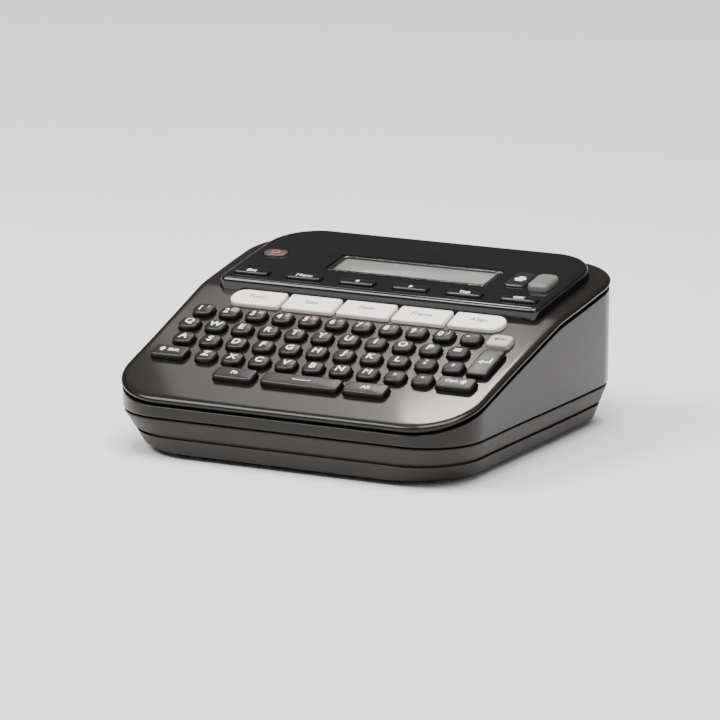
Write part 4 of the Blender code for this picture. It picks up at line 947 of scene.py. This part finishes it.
def build_legends():
    rows = ["1234567890-", "QWERTYUIOP=", "ASDFGHJKL;'", "ZXCVBNM,."]
    second = "!@#$%^&*()_"
    main, warm = [], []
    for u, v, r, i in small_centres():
        ch = rows[r][i]
        if r == 0:
            main.append(stamp(ch, 4.3, DECK, u - 1.15, v - 0.4, "mat"))
            warm.append(stamp(second[i], 3.1, DECK, u + 1.8, v + 0.8, "mat"))
        else:
            small = ch in ",.;'="
            main.append(stamp(ch, 5.6 if small else 4.8, DECK, u, v, "mat"))
    legends("key_legends", BASE, "key_silicone", INK_WHITE, main)
    legends("key_legends_shifted", BASE, "key_silicone", INK_WARM, warm)
    for nm, what, icon, size, du in (("backspace_key", "back", True, 1.75, 0.0), ("enter_key", "enter", True, 1.9, 0.0),
                                     ("shift_key_left", "shift", True, 1.35, -3.2), ("shift_key_right", "shift", True, 1.35, 3.2),
                                     ("space_key", "space", True, 1.2, 0.0)):
        w = [k for k in WIDE if k[0] == nm][0]
        parts = [stamp(what, size, DECK, w[1] + du, w[2], nm, icon=icon)]
        if nm == "shift_key_left":
            parts.append(stamp("Shift", 2.6, DECK, w[1] + 1.6, w[2], nm))
        if nm == "shift_key_right":
            parts.append(stamp("Caps", 2.6, DECK, w[1] - 1.8, w[2], nm))
        legends(nm + "_legend", nm + "_body", "cap_dark", INK_DARK if nm == "backspace_key" else INK_WHITE, parts)
    for nm, text in (("low_key_left", "Fn"), ("low_key_right", "Alt")):
        w = [k for k in WIDE if k[0] == nm][0]
        legends(nm + "_legend", nm + "_body", "cap_dark", INK_WHITE, [stamp(text, 3.0, DECK, w[1], w[2], nm)])
    mid = 0.5 * (TOUCH_V0 + TOUCH_V1)
    for i, text in enumerate(("Font", "Size", "Style", "Frame", "Align")):
        nm = "touch_key_%d" % (i + 1)
        u = TOUCH_U0 + TOUCH_P * (i + 0.5)
        legends(nm + "_legend", nm + "_body", "touch_white", INK_GREY,
                [stamp(text, 3.6, DECK, u, mid + 0.2, nm, lift=0.05)])
    for i, text in enumerate(("Esc", "Menu", "left", "right", "Tab", "OK")):
        nm = "function_key_%d" % (i + 1)
        u = FN_U0 + FN_P * i
        p = stamp(text, 1.2, LEDGE, u, FN_V, nm, icon=True) if text in ICONS else stamp(text, 3.2, LEDGE, u, FN_V, nm)
        legends(nm + "_legend", nm + "_body", "function_gloss", INK_WHITE, [p])
    legends("power_symbol", "power_button_body", "power_cap", INK_RED, [stamp("power", 1.7, LEDGE, -58.5, 24.9,
                                                                             "power_button", icon=True)])
    legends("print_symbol", "print_button_body", "print_cap", INK_WHITE, [stamp("print", 1.9, LEDGE, PRINT_U, PRINT_V,
                                                                               "print_button", icon=True)])
    # lever symbol, on the flat behind the thumb grooves
    c, s = math.cos(math.atan(LEDGE_SLOPE)), math.sin(math.atan(LEDGE_SLOPE))
    yv = (31.4 - FOLD_Y1) / c
    legends("cutter_symbol", "cutter_lever_body", "lever_grey", INK_GREY,
            [stamp("cut", 1.7, LEDGE, LEVER_X, yv, "lever", icon=True)])


build_upper()
build_lower()
build_cover()
build_feet()
build_console()
build_keys()
build_lever()
build_legends()

# ---------------------------------------------------------------- CAD nodes that stay, with their materials
KEEP = {
    "lcd_module": BLACKP, "key_board": PCB, "main_board": PCB2, "dc_jack": BLACKP, "print_head": ALU,
    "platen_roller": ROLL, "platen_gear": ACETAL, "idler_gear_small": ACETAL, "idler_gear_large": ACETAL,
    "motor_pinion": BRASS, "drive_motor": MOTOR, "ribbon_spindle": BLACKP, "ribbon_gear": ACETAL, "gear_plate": STEEL,
    "cutter_fixed_blade": BLADE, "cutter_blade": BLADE, "cutter_spring": WIRE,
    "case_screw_1": SCREW, "case_screw_2": SCREW, "case_screw_3": SCREW, "case_screw_4": SCREW,
}
for k in list(NODES):
    if k.startswith("battery_"):
        KEEP[k] = NICKEL
for k, m in KEEP.items():
    ob = NODES[k]
    if not ob.material_slots:
        ob.data.materials.append(m)
    for s in ob.material_slots:
        s.material = m
    shade(ob, 35.0)
    if k in ("platen_gear", "idler_gear_small", "idler_gear_large", "ribbon_gear", "motor_pinion", "gear_plate",
             "cutter_blade", "cutter_fixed_blade", "main_board", "dc_jack", "print_head"):
        bv = ob.modifiers.new("edge", 'BEVEL')
        bv.width = 0.00012
        bv.segments = 2
        bv.limit_method = 'ANGLE'
        bv.angle_limit = math.radians(40)

# ---------------------------------------------------------------- floor, light, camera
def stage_mat():
    m, nt, b = new_mat("floor_pale")
    tc = nt.nodes.new("ShaderNodeTexCoord")
    n = noise(nt, tc.outputs["Object"], 6.0, 3.0)
    nt.links.new(mixcol(nt, maprange(nt, n, 0.0, 1.0, 0.3, 0.7), (0.90, 0.915, 0.93), (0.92, 0.935, 0.95)),
                 b.inputs["Base Color"])
    b.inputs["Roughness"].default_value = 0.7
    b.inputs["Specular IOR Level"].default_value = 0.2
    return m


fl = make("floor", ([(-6000, -6000, -0.06), (6000, -6000, -0.06), (6000, 6000, -0.06), (-6000, 6000, -0.06)], [(0, 1, 2, 3)]),
          stage_mat(), smooth=False)

world = bpy.data.worlds.new("studio")
bpy.context.scene.world = world
world.use_nodes = True
wn = world.node_tree
wn.nodes.clear()
wo = wn.nodes.new("ShaderNodeOutputWorld")
bg = wn.nodes.new("ShaderNodeBackground")
wtc = wn.nodes.new("ShaderNodeTexCoord")
wsep = wn.nodes.new("ShaderNodeSeparateXYZ")
wr = wn.nodes.new("ShaderNodeValToRGB")
wn.links.new(wtc.outputs["Generated"], wsep.inputs[0])
wn.links.new(wsep.outputs["Z"], wr.inputs["Fac"])
cr = wr.color_ramp
cr.elements[0].position = 0.0
cr.elements[0].color = (0.62, 0.62, 0.63, 1)
cr.elements[1].position = 1.0
cr.elements[1].color = (0.55, 0.56, 0.58, 1)
for pos, c in ((0.10, 0.50), (0.28, 0.16), (0.55, 0.14), (0.75, 0.40)):
    e = cr.elements.new(pos)
    e.color = (c, c, c * 1.02, 1)
wn.links.new(wr.outputs["Color"], bg.inputs["Color"])
bg.inputs["Strength"].default_value = 0.75
wn.links.new(bg.outputs["Background"], wo.inputs["Surface"])


def area(name, loc, target, size, power, color=(1, 1, 1), size_y=None):
    ld = bpy.data.lights.new(name, 'AREA')
    ld.energy = power
    ld.color = color
    ld.size = size
    if size_y:
        ld.shape = 'RECTANGLE'
        ld.size_y = size_y
    ob = bpy.data.objects.new(name, ld)
    ob.location = loc
    d = Vector(target) - Vector(loc)
    ob.rotation_euler = d.to_track_quat('-Z', 'Y').to_euler()
    bpy.context.scene.collection.objects.link(ob)
    return ob


area("top_light", (0.5, -0.5, 3.2), (0.1, 0.3, 0.0), 2.2, 162.0, (1.0, 0.975, 0.945))
area("key_light", (-0.75, -0.55, 1.15), (0.0, 0.0, 0.03), 0.70, 19.0, (1.0, 0.965, 0.92))
area("fill_light", (1.25, -0.75, 0.70), (0.0, 0.0, 0.03), 0.80, 4.0, (1.0, 0.965, 0.92))
area("back_light", (-0.262, 0.318, 0.45), (0.02, -0.05, 0.03), 0.15, 0.17, (1.0, 0.97, 0.93))
area("corner_light", (-0.159, 0.284, 0.440), (0.066, -0.066, 0.028), 0.07, 0.46, (1.0, 0.97, 0.93))

cam_data = bpy.data.cameras.new("camera")
cam = bpy.data.objects.new("camera", cam_data)
bpy.context.scene.collection.objects.link(cam)
CAM = Vector((0.8405, -1.6752, 0.4560))
AIM = Vector((0.0, -0.004, 0.030))
cam.location = CAM
cam.rotation_euler = (AIM - CAM).to_track_quat('-Z', 'Y').to_euler()
cam_data.sensor_width = 36.0
cam_data.lens = 250.0
cam_data.clip_start = 0.05
cam_data.clip_end = 30.0
bpy.context.scene.camera = cam
